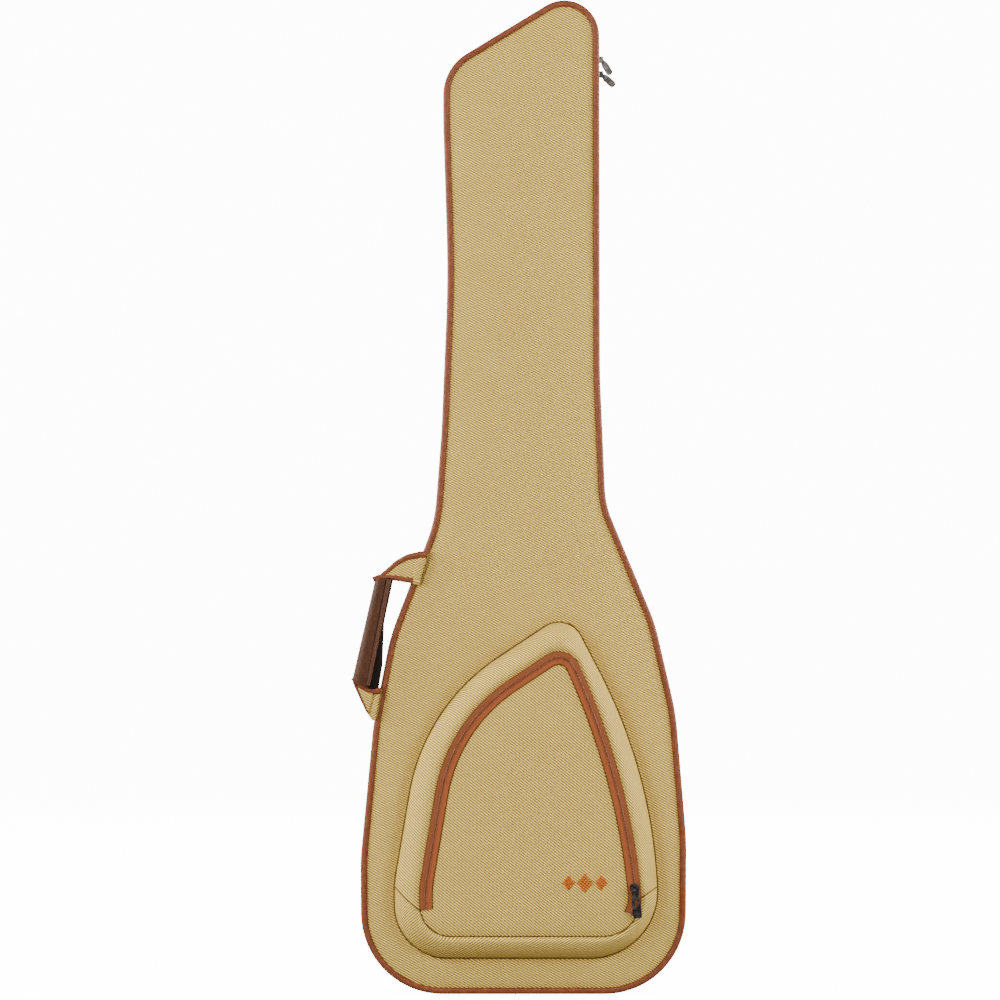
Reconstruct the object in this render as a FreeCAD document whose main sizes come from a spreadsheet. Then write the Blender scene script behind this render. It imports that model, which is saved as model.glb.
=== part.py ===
import FreeCAD, Part
import math
import os

# Padded bass gig bag, standing on its flat bottom edge.
# Frame: +Z up along the bag, +X to the bag's right seen from the front, the front faces -Y.
# The origin is on the resting plane, below the middle of the neck. Millimetres.

os.makedirs("parts", exist_ok=True)
doc = FreeCAD.newDocument("gig_bag")
V = FreeCAD.Vector

# ---------------------------------------------------------------- driving dimensions

SIZES = {
    "half_depth": 50.0,
    "piping_width": 8.5,
    "piping_proud": 2.0,
    "shell_thick": 1.6,
    "foam_thick": 7.8,
    "lining_thick": 1.6,
    "zip_plane": 25.0,
    "tape_width": 8.0,
    "coil_width": 2.2,
    "coil_sink": 2.6,
    "tape_sink": 4.6,
    "seam_gap": 0.3,
    "panel_clearance": 1.4,
    "fold_gap": 2.4,
    "throat_gap": 3.4,
    "throat_height": 588.0,
    "fold_top_x": -106.0,
    "fold_low_x": -199.0,
    "fold_low_z": 130.0,
    "pocket_depth": 34.0,
    "pocket_slope": 20.0,
    "pocket_tape": 7.4,
    "pocket_tape_thick": 2.4,
    "pocket_skin": 6.0,
    "pocket_fold": 93.0,
    "handle_band": 4.0,
    "handle_grip": 22.0,
    "grip_wall": 3.0,
    "grip_round": 9.0,
    "end_block_deep": 34.0,
    "end_block_tall": 62.0,
    "head_pad_deep": 22.0,
    "cradle_low": 850.0,
    "cradle_tall": 80.0,
    "cradle_wide": 76.0,
    "cradle_deep": 32.0,
    "groove_wide": 46.0,
    "groove_deep": 13.0,
    "neck_strap_long": 70.0,
    "neck_strap_tall": 26.0,
    "neck_strap_thick": 3.0,
    "patch_thick": 2.0,
    "pad_thick": 9.0,
    "webbing_thick": 2.0,
    "webbing_wide": 25.0,
    "strap_top": 640.0,
    "buckle_thick": 5.0,
    "loop_top": 1134.0,
    "loop_wide": 70.0,
    "loop_drop": 52.0,
    "loop_thick": 3.0,
    "loop_patch_tall": 19.0,
    "loop_patch_thick": 4.0,
    "slider_long": 17.0,
    "slider_wide": 12.0,
    "slider_plate": 2.0,
    "pin_height": 4.6,
    "pin_radius": 1.2,
    "pin_long": 7.4,
    "eye_clearance": 0.25,
    "pull_long": 21.5,
    "pull_wide": 8.4,
    "pull_head": 2.3,
    "upper_slider_z": 1147.0,
    "lower_slider_z": 1129.0,
    "pull_thick": 3.6,
    "pocket_pull_long": 34.0,
    "pocket_pull_wide": 11.0,
    "pocket_pull_thick": 2.4,
    "knuckle_long": 4.4,
    "knuckle_wall": 0.85,
}

sheet = doc.addObject("Spreadsheet::Sheet", "dims")
for row, (alias, value) in enumerate(SIZES.items(), start=1):
    sheet.set(f"A{row}", alias)
    sheet.set(f"B{row}", str(value))
    sheet.setAlias(f"B{row}", alias)
doc.recompute()


def size(alias):
    return float(getattr(sheet, alias))


# Corners of the bag's outline as (x, z, radius), clockwise from the bottom left.
BAG = [
    (-195.5, 0, 100),
    (-197, 165, 300),
    (-181, 332, 300),
    (-160.5, 438, 220),
    (-106, 580, 170),
    (-97.5, 690, 700),
    (-89.5, 880, 1500),
    (-95.5, 1070, 900),
    (-95.5, 1136, 58),
    (96, 1252.2, 43),
    (97, 760, 900),
    (104, 600, 110),
    (164.5, 455, 200),
    (190, 345, 300),
    (203, 190, 400),
    (202, 0, 100),
]

# Corners of the front pocket's outer seam, the same way round.
POCKET = [
    (-154, 45, 65),
    (-155, 135, 150),
    (-118.4, 352.9, 250),
    (57.6, 469.3, 30),
    (158.5, 275, 640),
    (172, 45, 82),
]

# Corners of the closing line of the pocket's zip, carried round below its two ends.
POCKET_ZIP = [
    (-116, 80, 30),
    (-116.7, 132, 115),
    (-83, 332, 200),
    (54.8, 423.2, 20),
    (124.9, 261.5, 880),
    (144, 80, 40),
]

# ---------------------------------------------------------------- outline geometry

# No inset outline turns more tightly than this.
TIGHTEST = 18.0


def unit(a, b):
    length = math.hypot(b[0] - a[0], b[1] - a[1])
    return ((b[0] - a[0]) / length, (b[1] - a[1]) / length)


def inset_corners(corners, inset):
    """Move every edge of a clockwise corner list inwards; radii follow the turn."""
    moved = []
    for i, (x, z, radius) in enumerate(corners):
        before = unit(corners[i - 1], corners[i])
        after = unit(corners[i], corners[(i + 1) % len(corners)])
        normal_before = (before[1], -before[0])
        normal_after = (after[1], -after[0])
        scale = inset / (1 + normal_before[0] * normal_after[0] + normal_before[1] * normal_after[1])
        turn = before[0] * after[1] - before[1] * after[0]
        new_radius = radius - inset if turn < 0 else radius + inset
        x_new = x + scale * (normal_before[0] + normal_after[0])
        z_new = z + scale * (normal_before[1] + normal_after[1])
        moved.append((x_new, z_new, max(new_radius, TIGHTEST)))
    return moved


def corner_arc(corners, i):
    """Start, middle, end and centre of the arc that rounds corner i."""
    x, z, radius = corners[i]
    back = unit(corners[i], corners[i - 1])
    ahead = unit(corners[i], corners[(i + 1) % len(corners)])
    half = math.acos(max(-1.0, min(1.0, back[0] * ahead[0] + back[1] * ahead[1]))) / 2
    tangent = radius / math.tan(half)
    middle = unit((0, 0), (back[0] + ahead[0], back[1] + ahead[1]))
    reach = radius / math.sin(half)
    start = V(x + back[0] * tangent, z + back[1] * tangent, 0)
    end = V(x + ahead[0] * tangent, z + ahead[1] * tangent, 0)
    centre = V(x + middle[0] * reach, z + middle[1] * reach, 0)
    mid = centre - V(middle[0] * radius, middle[1] * radius, 0)
    return start, mid, end, centre


def rounded_loop(corners, inset=0.0):
    """Lines and tangent arcs of one closed outline, in sketch coordinates."""
    corners = inset_corners(corners, inset) if inset else corners
    arcs = [corner_arc(corners, i) for i in range(len(corners))]
    loop = []
    for i, (start, mid, end, _) in enumerate(arcs):
        loop.append(Part.Arc(start, mid, end))
        next_start = arcs[(i + 1) % len(arcs)][0]
        loop.append(Part.LineSegment(end, next_start))
    return loop


def polygon(points):
    corners = [V(x, z, 0) for x, z in points]
    return [Part.LineSegment(a, b) for a, b in zip(corners, corners[1:] + corners[:1])]


def circle(x, z, radius):
    return [Part.Circle(V(x, z, 0), V(0, 0, 1), radius)]


# ---------------------------------------------------------------- feature helpers


def new_body(label):
    return doc.addObject("PartDesign::Body", label)


def sketch_on(body, name, plane, loops, offset="0"):
    """A sketch on one of the body's own origin planes, moved along its normal."""
    sketch = body.newObject("Sketcher::SketchObject", name)
    origin_plane = [f for f in body.Origin.OriginFeatures if f.Role == plane][0]
    sketch.AttachmentSupport = [(origin_plane, "")]
    sketch.MapMode = "FlatFace"
    sketch.setExpression("AttachmentOffset.Base.z", offset)
    for loop in loops:
        sketch.addGeometry(loop, False)
    return sketch


def pad(body, name, sketch, length):
    feature = body.newObject("PartDesign::Pad", name)
    feature.Profile = sketch
    feature.setExpression("Length", length)
    return feature


def cut_through(body, name, sketch):
    feature = body.newObject("PartDesign::Pocket", name)
    feature.Profile = sketch
    feature.Type = "ThroughAll"
    feature.SideType = "Symmetric"
    return feature


def slab(label, loops, back, thick, cuts=()):
    """A flat layer: loops padded forwards (-Y) from the plane y = back, less the cuts."""
    body = new_body(label)
    profile = sketch_on(body, label + "_profile", "XZ_Plane", loops, f"-({back})")
    pad(body, label + "_pad", profile, thick)
    for number, cut in enumerate(cuts):
        outline = sketch_on(body, f"{label}_cut{number}", "XZ_Plane", [polygon(cut)])
        cut_through(body, f"{label}_trim{number}", outline)
    return body


def ring(label, corners, outer, inner, back, thick, cuts=()):
    """A layer that follows an outline between two insets."""
    loops = [rounded_loop(corners, outer), rounded_loop(corners, inner)]
    return slab(label, loops, back, thick, cuts)


def fillet_long_edges(body, name, base, radius, direction):
    """Round the edges of a padded piece that run along one direction or its outline."""
    doc.recompute()
    wanted = []
    for number, edge in enumerate(base.Shape.Edges, start=1):
        tangent = edge.tangentAt(edge.FirstParameter)
        if abs(tangent.dot(direction)) < 0.5:
            wanted.append(f"Edge{number}")
    feature = body.newObject("PartDesign::Fillet", name)
    feature.Base = (base, wanted)
    feature.setExpression("Radius", radius)
    return feature


# ---------------------------------------------------------------- regions of the bag

THROAT = size("throat_height")
GAP = size("seam_gap")
FAR = 1400.0
FOLD_SLOPE = (size("fold_top_x") - size("fold_low_x")) / (THROAT - size("fold_low_z"))


def fold_x(z):
    """Where the lid's fold line crosses height z."""
    return size("fold_top_x") + FOLD_SLOPE * (z - THROAT)


FOLD_GAP = size("fold_gap")
THROAT_GAP = size("throat_gap")
SIDE_LOW = size("fold_low_z")


def above(z):
    """Everything higher than z, as a region to cut away."""
    return [(-FAR, z), (FAR, z), (FAR, FAR), (-FAR, FAR)]


def below(z):
    return [(-FAR, z), (FAR, z), (FAR, -FAR), (-FAR, -FAR)]


def left_of_fold(gap):
    return [(-FAR, -FAR), (fold_x(-FAR) + gap, -FAR), (fold_x(FAR) + gap, FAR), (-FAR, FAR)]


def right_of_fold(gap):
    return [(FAR, -FAR), (fold_x(-FAR) - gap, -FAR), (fold_x(FAR) - gap, FAR), (FAR, FAR)]


# The side wall between the two ends of the zip stays with the rear half, all the way to the throat.
# The fold line leans, so the lid's walls rise a little as they swing past the foot of that side wall.
LEFT_WALL = [(-FAR, SIDE_LOW - FOLD_GAP), (0, SIDE_LOW - FOLD_GAP), (0, FAR), (-FAR, FAR)]
ALL_BUT_LEFT_WALL = [
    (-FAR, -FAR),
    (FAR, -FAR),
    (FAR, FAR),
    (0, FAR),
    (0, SIDE_LOW + GAP),
    (-FAR, SIDE_LOW + GAP),
]
# The piping stands proud of the throat's fold, so it stops short of it on both sides.
LID_PANEL_CUTS = [above(THROAT - GAP), left_of_fold(FOLD_GAP)]
LID_WALL_CUTS = [above(THROAT - GAP), LEFT_WALL]
LID_PIPING_CUTS = [above(THROAT - THROAT_GAP), LEFT_WALL]
SIDE_WALL_CUTS = [above(THROAT - GAP), ALL_BUT_LEFT_WALL]
SIDE_PIPING_CUTS = [above(THROAT - THROAT_GAP), ALL_BUT_LEFT_WALL]
SIDE_PANEL_CUTS = [above(THROAT - GAP), right_of_fold(GAP)]
NECK_CUTS = [below(THROAT + GAP)]
NECK_PIPING_CUTS = [below(THROAT + THROAT_GAP)]

# Depth positions, as expressions of the sheet.
FRONT_FACE = "-dims.half_depth"
FRONT_FOAM = "-dims.half_depth + dims.shell_thick"
FRONT_LINING = "-dims.half_depth + dims.shell_thick + dims.foam_thick"
PANEL_THICK = "dims.shell_thick + dims.foam_thick + dims.lining_thick"
PIPING_BACK = "-dims.half_depth + dims.piping_width - dims.piping_proud"
WALL = size("piping_width")
BACKING = 0.1
INSIDE = WALL + BACKING


def panel_layers(prefix, cuts):
    """Outer cloth, foam and lining of one front panel."""
    loops = [rounded_loop(BAG, WALL + size("panel_clearance"))]
    slab(prefix + "_panel", loops, FRONT_FOAM, "dims.shell_thick", cuts)
    slab(prefix + "_padding", loops, FRONT_LINING, "dims.foam_thick", cuts)
    slab(prefix + "_lining", loops, f"-dims.half_depth + {PANEL_THICK}", "dims.lining_thick", cuts)


def front_walls(prefix, cuts, piping_cuts):
    """Piping, the narrow front wall and the front half of the zip of one moving panel."""
    ring(prefix + "_piping", BAG, 0, WALL, PIPING_BACK, "dims.piping_width", piping_cuts)
    wall_back = "-dims.zip_plane - dims.tape_width"
    wall_thick = f"{wall_back} - ({PIPING_BACK}) - {BACKING}"
    ring(prefix + "_gusset", BAG, 0, WALL, wall_back, wall_thick, cuts)
    zip_half(prefix + "_zip_tape", -1, cuts)


def zip_half(label, side, cuts):
    """Tape and coil of one half of the main zip; side -1 is in front of the zip plane."""
    body = new_body(label)
    tape_loops = [rounded_loop(BAG, size("tape_sink")), rounded_loop(BAG, WALL)]
    coil_loops = [rounded_loop(BAG, size("coil_sink")), rounded_loop(BAG, WALL)]
    if side < 0:
        tape_back = "-dims.zip_plane - dims.seam_gap"
        coil_back = tape_back
    else:
        tape_back = "-dims.zip_plane + dims.tape_width"
        coil_back = "-dims.zip_plane + dims.coil_width + dims.seam_gap"
    tape = sketch_on(body, label + "_tape", "XZ_Plane", tape_loops, f"-({tape_back})")
    pad(body, label + "_tape_pad", tape, "dims.tape_width - dims.seam_gap")
    coil = sketch_on(body, label + "_coil", "XZ_Plane", coil_loops, f"-({coil_back})")
    pad(body, label + "_coil_pad", coil, "dims.coil_width")
    for number, cut in enumerate(cuts):
        outline = sketch_on(body, f"{label}_cut{number}", "XZ_Plane", [polygon(cut)])
        cut_through(body, f"{label}_trim{number}", outline)


# ---------------------------------------------------------------- rear half


def rear_half():
    loops = [rounded_loop(BAG, INSIDE)]
    slab("rear_panel", loops, "dims.half_depth", "dims.shell_thick")
    slab("rear_padding", loops, "dims.half_depth - dims.shell_thick", "dims.foam_thick")
    rear_lining_back = "dims.half_depth - dims.shell_thick - dims.foam_thick"
    slab("rear_lining", loops, rear_lining_back, "dims.lining_thick")
    rear_piping_back = "dims.half_depth + dims.piping_proud"
    ring("rear_piping", BAG, 0, WALL, rear_piping_back, "dims.piping_width")
    gusset_back = f"dims.half_depth + dims.piping_proud - dims.piping_width - {BACKING}"
    gusset_front = "-dims.zip_plane + dims.tape_width"
    gusset_deep = f"{gusset_back} - ({gusset_front})"
    ring("rear_gusset_lower", BAG, 0, WALL, gusset_back, gusset_deep, [above(THROAT)])
    ring("rear_gusset_upper", BAG, 0, WALL, gusset_back, gusset_deep, [below(THROAT)])
    zip_half("rear_zip_tape", 1, [])


def left_side():
    """The stretch of the front that doesn't open: its wall, piping and the strip beside the fold."""
    strip = [rounded_loop(BAG, INSIDE)]
    slab("side_strip", strip, f"-dims.half_depth + {PANEL_THICK}", PANEL_THICK, SIDE_PANEL_CUTS)
    ring("side_piping", BAG, 0, WALL, PIPING_BACK, "dims.piping_width", SIDE_PIPING_CUTS)
    wall_back = "-dims.zip_plane - dims.seam_gap"
    wall_thick = f"{wall_back} - ({PIPING_BACK}) - {BACKING}"
    ring("side_gusset", BAG, 0, WALL, wall_back, wall_thick, SIDE_WALL_CUTS)


# ---------------------------------------------------------------- pocket


def pocket():
    fold = size("pocket_fold")
    face = "-dims.half_depth - dims.pocket_depth"
    below_fold = below(fold + GAP)
    above_fold = above(fold - GAP)

    border = new_body("pocket_border")
    foot_at = f"dims.half_depth + {BACKING}"
    foot = sketch_on(border, "border_foot", "XZ_Plane", [rounded_loop(POCKET)], foot_at)
    rim_loop = [rounded_loop(POCKET, size("pocket_slope"))]
    rim = sketch_on(border, "border_rim", "XZ_Plane", rim_loop, f"-({face})")
    loft = border.newObject("PartDesign::AdditiveLoft", "border_slope")
    loft.Profile = foot
    loft.Sections = [rim]
    loft.Ruled = True
    tape = size("pocket_tape")
    hollow = [rounded_loop(POCKET_ZIP, -tape - 3 * BACKING)]
    well = sketch_on(border, "border_well", "XZ_Plane", hollow)
    cut_through(border, "border_hollow", well)

    skin_back = f"{face} + dims.pocket_skin"
    lower = [rounded_loop(POCKET_ZIP, -tape - 2 * BACKING)]
    slab("pocket_lower_face", lower, skin_back, "dims.pocket_skin", [above_fold])
    tape_back = f"{face} + dims.pocket_tape_thick"
    tape_thick = "dims.pocket_tape_thick"
    ring("pocket_outer_tape", POCKET_ZIP, -tape - 2 * BACKING, -GAP, tape_back, tape_thick, [below_fold])
    ring("pocket_inner_tape", POCKET_ZIP, GAP, tape, tape_back, tape_thick, [below_fold])
    flap = [rounded_loop(POCKET_ZIP, tape + BACKING)]
    slab("pocket_flap", flap, skin_back, "dims.pocket_skin", [below_fold])


# ---------------------------------------------------------------- handle

# The handle's flat outlines in x and z. It turns about the outer edge of the side piping.
UPPER_TAB = [(-116.5, 542.5), (-124, 542), (-135.5, 508.5), (-124.5, 503)]
UPPER_BAND = [
    (-127, 541.5),
    (-141, 538),
    (-154, 529.5),
    (-167, 518.5),
    (-181, 507.5),
    (-157, 507.5),
    (-138, 509),
]
GRIP = [(-182.5, 507), (-156.5, 507), (-172.8, 379), (-206, 390.5)]
LOWER_BAND = [(-206, 390), (-173, 378.5), (-179, 365), (-185.5, 346), (-189, 346), (-198, 363), (-207, 378)]
LOWER_TAB = [(-170.5, 372), (-174, 372), (-176, 365), (-181.4, 347.5), (-180.8, 335.5), (-177.5, 335.5)]
# How far the bands float in front of the piping that they lie over.
FLOAT = 0.4


def handle():
    band_back = f"-dims.half_depth - dims.piping_proud - {FLOAT}"
    slab("handle_tab_upper", [polygon(UPPER_TAB)], band_back, "dims.handle_band")
    slab("handle_tab_lower", [polygon(LOWER_TAB)], band_back, "dims.handle_band")
    slab("handle_band_upper", [polygon(UPPER_BAND)], band_back, "dims.handle_band")
    slab("handle_band_lower", [polygon(LOWER_BAND)], band_back, "dims.handle_band")

    centre = f"{band_back} - dims.handle_band / 2"
    y_axis = V(0, 1, 0)
    corners = [V(x, z, 0) for x, z in GRIP]
    middle = sum(corners, V()) * 0.25
    wall = size("grip_wall")
    inner = []
    for corner in corners:
        inward = (middle - corner).normalize() * (wall * 1.5)
        inner.append((corner.x + inward.x, corner.y + inward.y))

    tube = new_body("grip_outside")
    tube_back = f"-({centre} + dims.handle_grip / 2)"
    outline = sketch_on(tube, "grip_outline", "XZ_Plane", [polygon(GRIP)], tube_back)
    block = pad(tube, "grip_block", outline, "dims.handle_grip")
    fillet_long_edges(tube, "grip_rounding", block, "dims.grip_round", y_axis)

    def filling(label):
        body = new_body(label)
        deep = "(dims.handle_grip - 2 * dims.grip_wall)"
        core_back = f"-({centre} + {deep} / 2)"
        profile = sketch_on(body, label + "_outline", "XZ_Plane", [polygon(inner)], core_back)
        core = pad(body, label + "_block", profile, deep)
        fillet_long_edges(body, label + "_rounding", core, "dims.grip_round - dims.grip_wall", y_axis)
        return body

    filling("grip_core")
    hollow = filling("grip_hollow")
    doc.recompute()
    grip = doc.addObject("Part::Cut", "handle_grip")
    grip.Base = tube
    grip.Tool = hollow


# ---------------------------------------------------------------- inside pieces


def inside_pieces():
    floor = WALL + 2 * BACKING
    top = size("end_block_tall")
    floor_pad = [rounded_loop([(-140, floor, 30), (-120, top, 12), (120, top, 12), (140, floor, 30)])]
    lining_face = f"dims.half_depth - ({PANEL_THICK}) - {BACKING}"
    slab("end_pin_block", floor_pad, lining_face, "dims.end_block_deep")
    top_pad = [rounded_loop([(-78, 1104, 8), (-78, 1116, 6), (84, 1216, 34), (84, 1104, 8)])]
    slab("headstock_pad", top_pad, lining_face, "dims.head_pad_deep")

    low = size("cradle_low")
    high = low + size("cradle_tall")
    half = size("cradle_wide") / 2
    block = [polygon([(-half, low), (-half, high), (half, high), (half, low)])]
    cradle = slab("neck_cradle", block, lining_face, "dims.cradle_deep")
    groove_half = size("groove_wide") / 2
    groove_low = low - 1
    groove_high = high + 1
    groove = [
        polygon(
            [
                (-groove_half, groove_low),
                (-groove_half, groove_high),
                (groove_half, groove_high),
                (groove_half, groove_low),
            ]
        )
    ]
    groove_at = f"-({lining_face} - dims.cradle_deep + dims.groove_deep)"
    groove_sketch = sketch_on(cradle, "neck_groove", "XZ_Plane", groove, groove_at)
    channel = cradle.newObject("PartDesign::Pocket", "neck_channel")
    channel.Profile = groove_sketch
    channel.Type = "ThroughAll"
    channel.Reversed = True

    strap_low = low + (size("cradle_tall") - size("neck_strap_tall")) / 2
    strap_high = strap_low + size("neck_strap_tall")
    strap_half = size("neck_strap_long") / 2
    strap = [
        (-strap_half, strap_low, 3),
        (-strap_half, strap_high, 3),
        (strap_half, strap_high, 8),
        (strap_half, strap_low, 8),
    ]
    strap_back = f"{lining_face} - dims.cradle_deep - {FLOAT}"
    slab("neck_strap", [rounded_loop(strap)], strap_back, "dims.neck_strap_thick")


# ---------------------------------------------------------------- back pieces


def mirrored(points, side):
    moved = [(side * p[0],) + tuple(p[1:]) for p in points]
    return moved if side > 0 else moved[::-1]


SHOULDER_PAD = [
    (112, 268, 12),
    (78, 268, 12),
    (66, 420, 300),
    (16, 632, 8),
    (66, 640, 8),
    (126, 440, 260),
]
LOWER_PATCH = [(128, 96, 6), (122, 140, 6), (160, 150, 6), (172, 112, 6)]
WEBBING = [(91.9, 264), (117, 264), (158, 144), (134, 136)]
BUCKLE = [(80, 240, 4), (78, 264, 4), (118, 264, 4), (120, 240, 4)]
BUCKLE_SLOTS = (244.5, 255.5)
SLOT_TALL = 4.5


def back_pieces():
    lying = f"dims.half_depth + dims.piping_proud + {FLOAT}"
    patch_back = f"dims.half_depth + dims.patch_thick + {BACKING}"
    webbing_back = f"{patch_back} + dims.webbing_thick + {BACKING / 2}"
    patch = [(-74, 646, 8), (-60, 690, 8), (60, 690, 8), (74, 646, 8)]
    slab("strap_patch_upper", [rounded_loop(patch)], patch_back, "dims.patch_thick")
    for side, word in ((-1, "left"), (1, "right")):
        anchor = [rounded_loop(mirrored(LOWER_PATCH, side))]
        slab(f"strap_patch_{word}", anchor, patch_back, "dims.patch_thick")
        cushion = [rounded_loop(mirrored(SHOULDER_PAD, side))]
        slab(f"shoulder_pad_{word}", cushion, f"{lying} + dims.pad_thick", "dims.pad_thick")
        tape = [polygon(mirrored(WEBBING, side))]
        slab(f"strap_webbing_{word}", tape, webbing_back, "dims.webbing_thick")
        frame = [rounded_loop(mirrored(BUCKLE, side))]
        slots = []
        for low in BUCKLE_SLOTS:
            high = low + SLOT_TALL
            slot = [(85, low, 1), (85, high, 1), (112, high, 1), (112, low, 1)]
            slots.append(rounded_loop(mirrored(slot, side)))
        buckle_back = f"{lying} + dims.webbing_thick + dims.buckle_thick"
        slab(f"ladder_lock_{word}", frame + slots, buckle_back, "dims.buckle_thick")

    half = size("loop_wide") / 2
    top = size("loop_top")
    low = top - size("loop_drop")
    outside = [(-half, low, 26), (-half, top, 2), (half, top, 2), (half, low, 26)]
    web = size("webbing_wide") * 0.6
    inside = [
        (-half + web, low + web, 12),
        (-half + web, top - 4, 2),
        (half - web, top - 4, 2),
        (half - web, low + web, 12),
    ]
    loop_back = f"dims.half_depth + dims.piping_proud + dims.loop_thick + 6 * {BACKING}"
    slab("hang_loop", [rounded_loop(outside), rounded_loop(inside)], loop_back, "dims.loop_thick")
    wide = half + 6
    patch_low = top + 1
    patch_high = patch_low + size("loop_patch_tall")
    loop_patch = [(-wide, patch_low, 3), (-wide, patch_high, 6), (wide, patch_high, 6), (wide, patch_low, 3)]
    patch_face = f"dims.half_depth + dims.loop_patch_thick + {BACKING}"
    slab("hang_loop_patch", [rounded_loop(loop_patch)], patch_face, "dims.loop_patch_thick")


# ---------------------------------------------------------------- zip sliders and pulls

# A slider is drawn lying on the XY plane: its nose points along +Y, its outside faces +Z.
# A pull is drawn about its pin, which lies along X, and hangs along -Y.


def slider(label, placement):
    body = new_body(label)
    half = size("slider_wide") / 2
    long = size("slider_long")
    tail = half - 2
    plate = [(-tail, -long / 2, 1.5), (-half, long * 0.3, 3), (-half + 3, long / 2, 2.4)]
    plate += [(half - 3, long / 2, 2.4), (half, long * 0.3, 3), (tail, -long / 2, 1.5)]
    outline = sketch_on(body, label + "_plate", "XY_Plane", [rounded_loop(plate)])
    pad(body, label + "_plate_pad", outline, "dims.slider_plate")
    ear_half = 0.8
    ear_at = 3.4
    ear_long = 4
    for number, x in enumerate((-ear_at, ear_at)):
        near = x - ear_half
        far = x + ear_half
        ear = [(near, -ear_long, 0.3), (near, ear_long, 0.3), (far, ear_long, 0.3), (far, -ear_long, 0.3)]
        ear_sketch = sketch_on(body, f"{label}_ear{number}", "XY_Plane", [rounded_loop(ear)])
        ear_tall = f"dims.pin_height + dims.pin_radius + {ear_half}"
        pad(body, f"{label}_ear_pad{number}", ear_sketch, ear_tall)
    pin = sketch_on(body, label + "_pin", "YZ_Plane", [circle(0, size("pin_height"), size("pin_radius"))])
    shaft = pad(body, label + "_pin_pad", pin, "dims.pin_long")
    shaft.SideType = "Symmetric"
    body.Placement = placement


def eyed_pull(label, placement):
    """A flat pull whose eye turns on the slider's pin; its flat side faces along the pin."""
    body = new_body(label)
    half = size("pull_wide") / 2
    eye = size("pin_radius") + size("eye_clearance")
    long = size("pull_long")
    head = size("pull_head")
    neck = head * 1.5
    tab = [(-long, -half, half - 0.3), (-neck * 2, -half, 4), (-head, -head, 1.5), (head, -head, head - 0.05)]
    tab += [(z, -across, radius) for z, across, radius in tab[::-1]]
    loops = [rounded_loop(tab[::-1]), circle(0, 0, eye)]
    outline = sketch_on(body, label + "_outline", "YZ_Plane", loops, "-dims.pull_thick / 2")
    pad(body, label + "_tab", outline, "dims.pull_thick")
    body.Placement = placement


def flat_pull(label, placement):
    """A pull with a knuckle round the pin and a slotted flat tab."""
    body = new_body(label)
    half = size("pocket_pull_wide") / 2
    long = size("pocket_pull_long")
    eye = size("pin_radius") + size("eye_clearance")
    knuckle_loops = [circle(0, 0, eye + size("knuckle_wall")), circle(0, 0, eye)]
    knuckle = sketch_on(body, label + "_knuckle", "YZ_Plane", knuckle_loops)
    barrel = pad(body, label + "_barrel", knuckle, "dims.knuckle_long")
    barrel.SideType = "Symmetric"
    tab = [(-half, -long, 3.5), (-half, -9, 2.5), (-2.1, -6, 0.8), (-2.1, -2.2, 0.1)]
    tab += [(2.1, -2.2, 0.1), (2.1, -6, 0.8), (half, -9, 2.5), (half, -long, 3.5)]
    slot = [(-2, -20, 1.8), (-2, -11, 1.8), (2, -11, 1.8), (2, -20, 1.8)]
    loops = [rounded_loop(tab), rounded_loop(slot)]
    plate = sketch_on(body, label + "_plate", "XY_Plane", loops, "-dims.pocket_pull_thick / 2")
    pad(body, label + "_tab", plate, "dims.pocket_pull_thick")
    body.Placement = placement


def pocket_arc():
    """Centre and lower end of the long arc on the right of the pocket's zip."""
    _, _, end, centre = corner_arc(POCKET_ZIP, 4)
    return centre, end


def zip_hardware():
    # Main sliders: on the right-hand wall of the neck, just clear of the coil, outside facing +X.
    neck_right = 96.6
    slider_clearance = 0.5
    wall_x = neck_right - size("coil_sink") + slider_clearance
    zip_y = -size("zip_plane")
    pin = size("pin_height")
    flat_right = FreeCAD.Rotation(V(0, 1, 0), V(0, 0, 1), V(1, 0, 0), "ZXY")
    for name, swing in (("upper", 32), ("lower", 48)):
        z = size(name + "_slider_z")
        slider(f"zip_slider_{name}", FreeCAD.Placement(V(wall_x, zip_y, z), flat_right))
        swung = flat_right.multiply(FreeCAD.Rotation(V(1, 0, 0), -swing))
        eyed_pull(f"zip_pull_{name}", FreeCAD.Placement(V(wall_x + pin, zip_y, z), swung))

    # Pocket slider: on the pocket's face at the lower right end of its zip, outside facing -Y.
    centre, end = pocket_arc()
    radius = (end - centre).Length
    above_end = 2.0
    along = math.atan2(end.y - centre.y, end.x - centre.x) + above_end / radius
    x = centre.x + radius * math.cos(along)
    z = centre.y + radius * math.sin(along)
    face_y = -size("half_depth") - size("pocket_depth") - slider_clearance
    lean = math.degrees(along)
    facing = FreeCAD.Rotation(V(0, 1, 0), -lean).multiply(FreeCAD.Rotation(V(1, 0, 0), 90))
    slider("pocket_slider", FreeCAD.Placement(V(x, face_y, z), facing))
    flat_pull("pocket_pull", FreeCAD.Placement(V(x, face_y - pin, z), facing))
    print("pocket slider at", round(x, 2), round(z, 2), "arc centre", round(centre.x, 2), round(centre.y, 2),
          "radius", round(radius, 2), "lean", round(lean, 2))


# ---------------------------------------------------------------- build

rear_half()
left_side()
panel_layers("body", LID_PANEL_CUTS)
front_walls("body", LID_WALL_CUTS, LID_PIPING_CUTS)
panel_layers("neck", NECK_CUTS)
front_walls("neck", NECK_CUTS, NECK_PIPING_CUTS)
pocket()
handle()
inside_pieces()
back_pieces()
zip_hardware()
doc.recompute()

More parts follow.
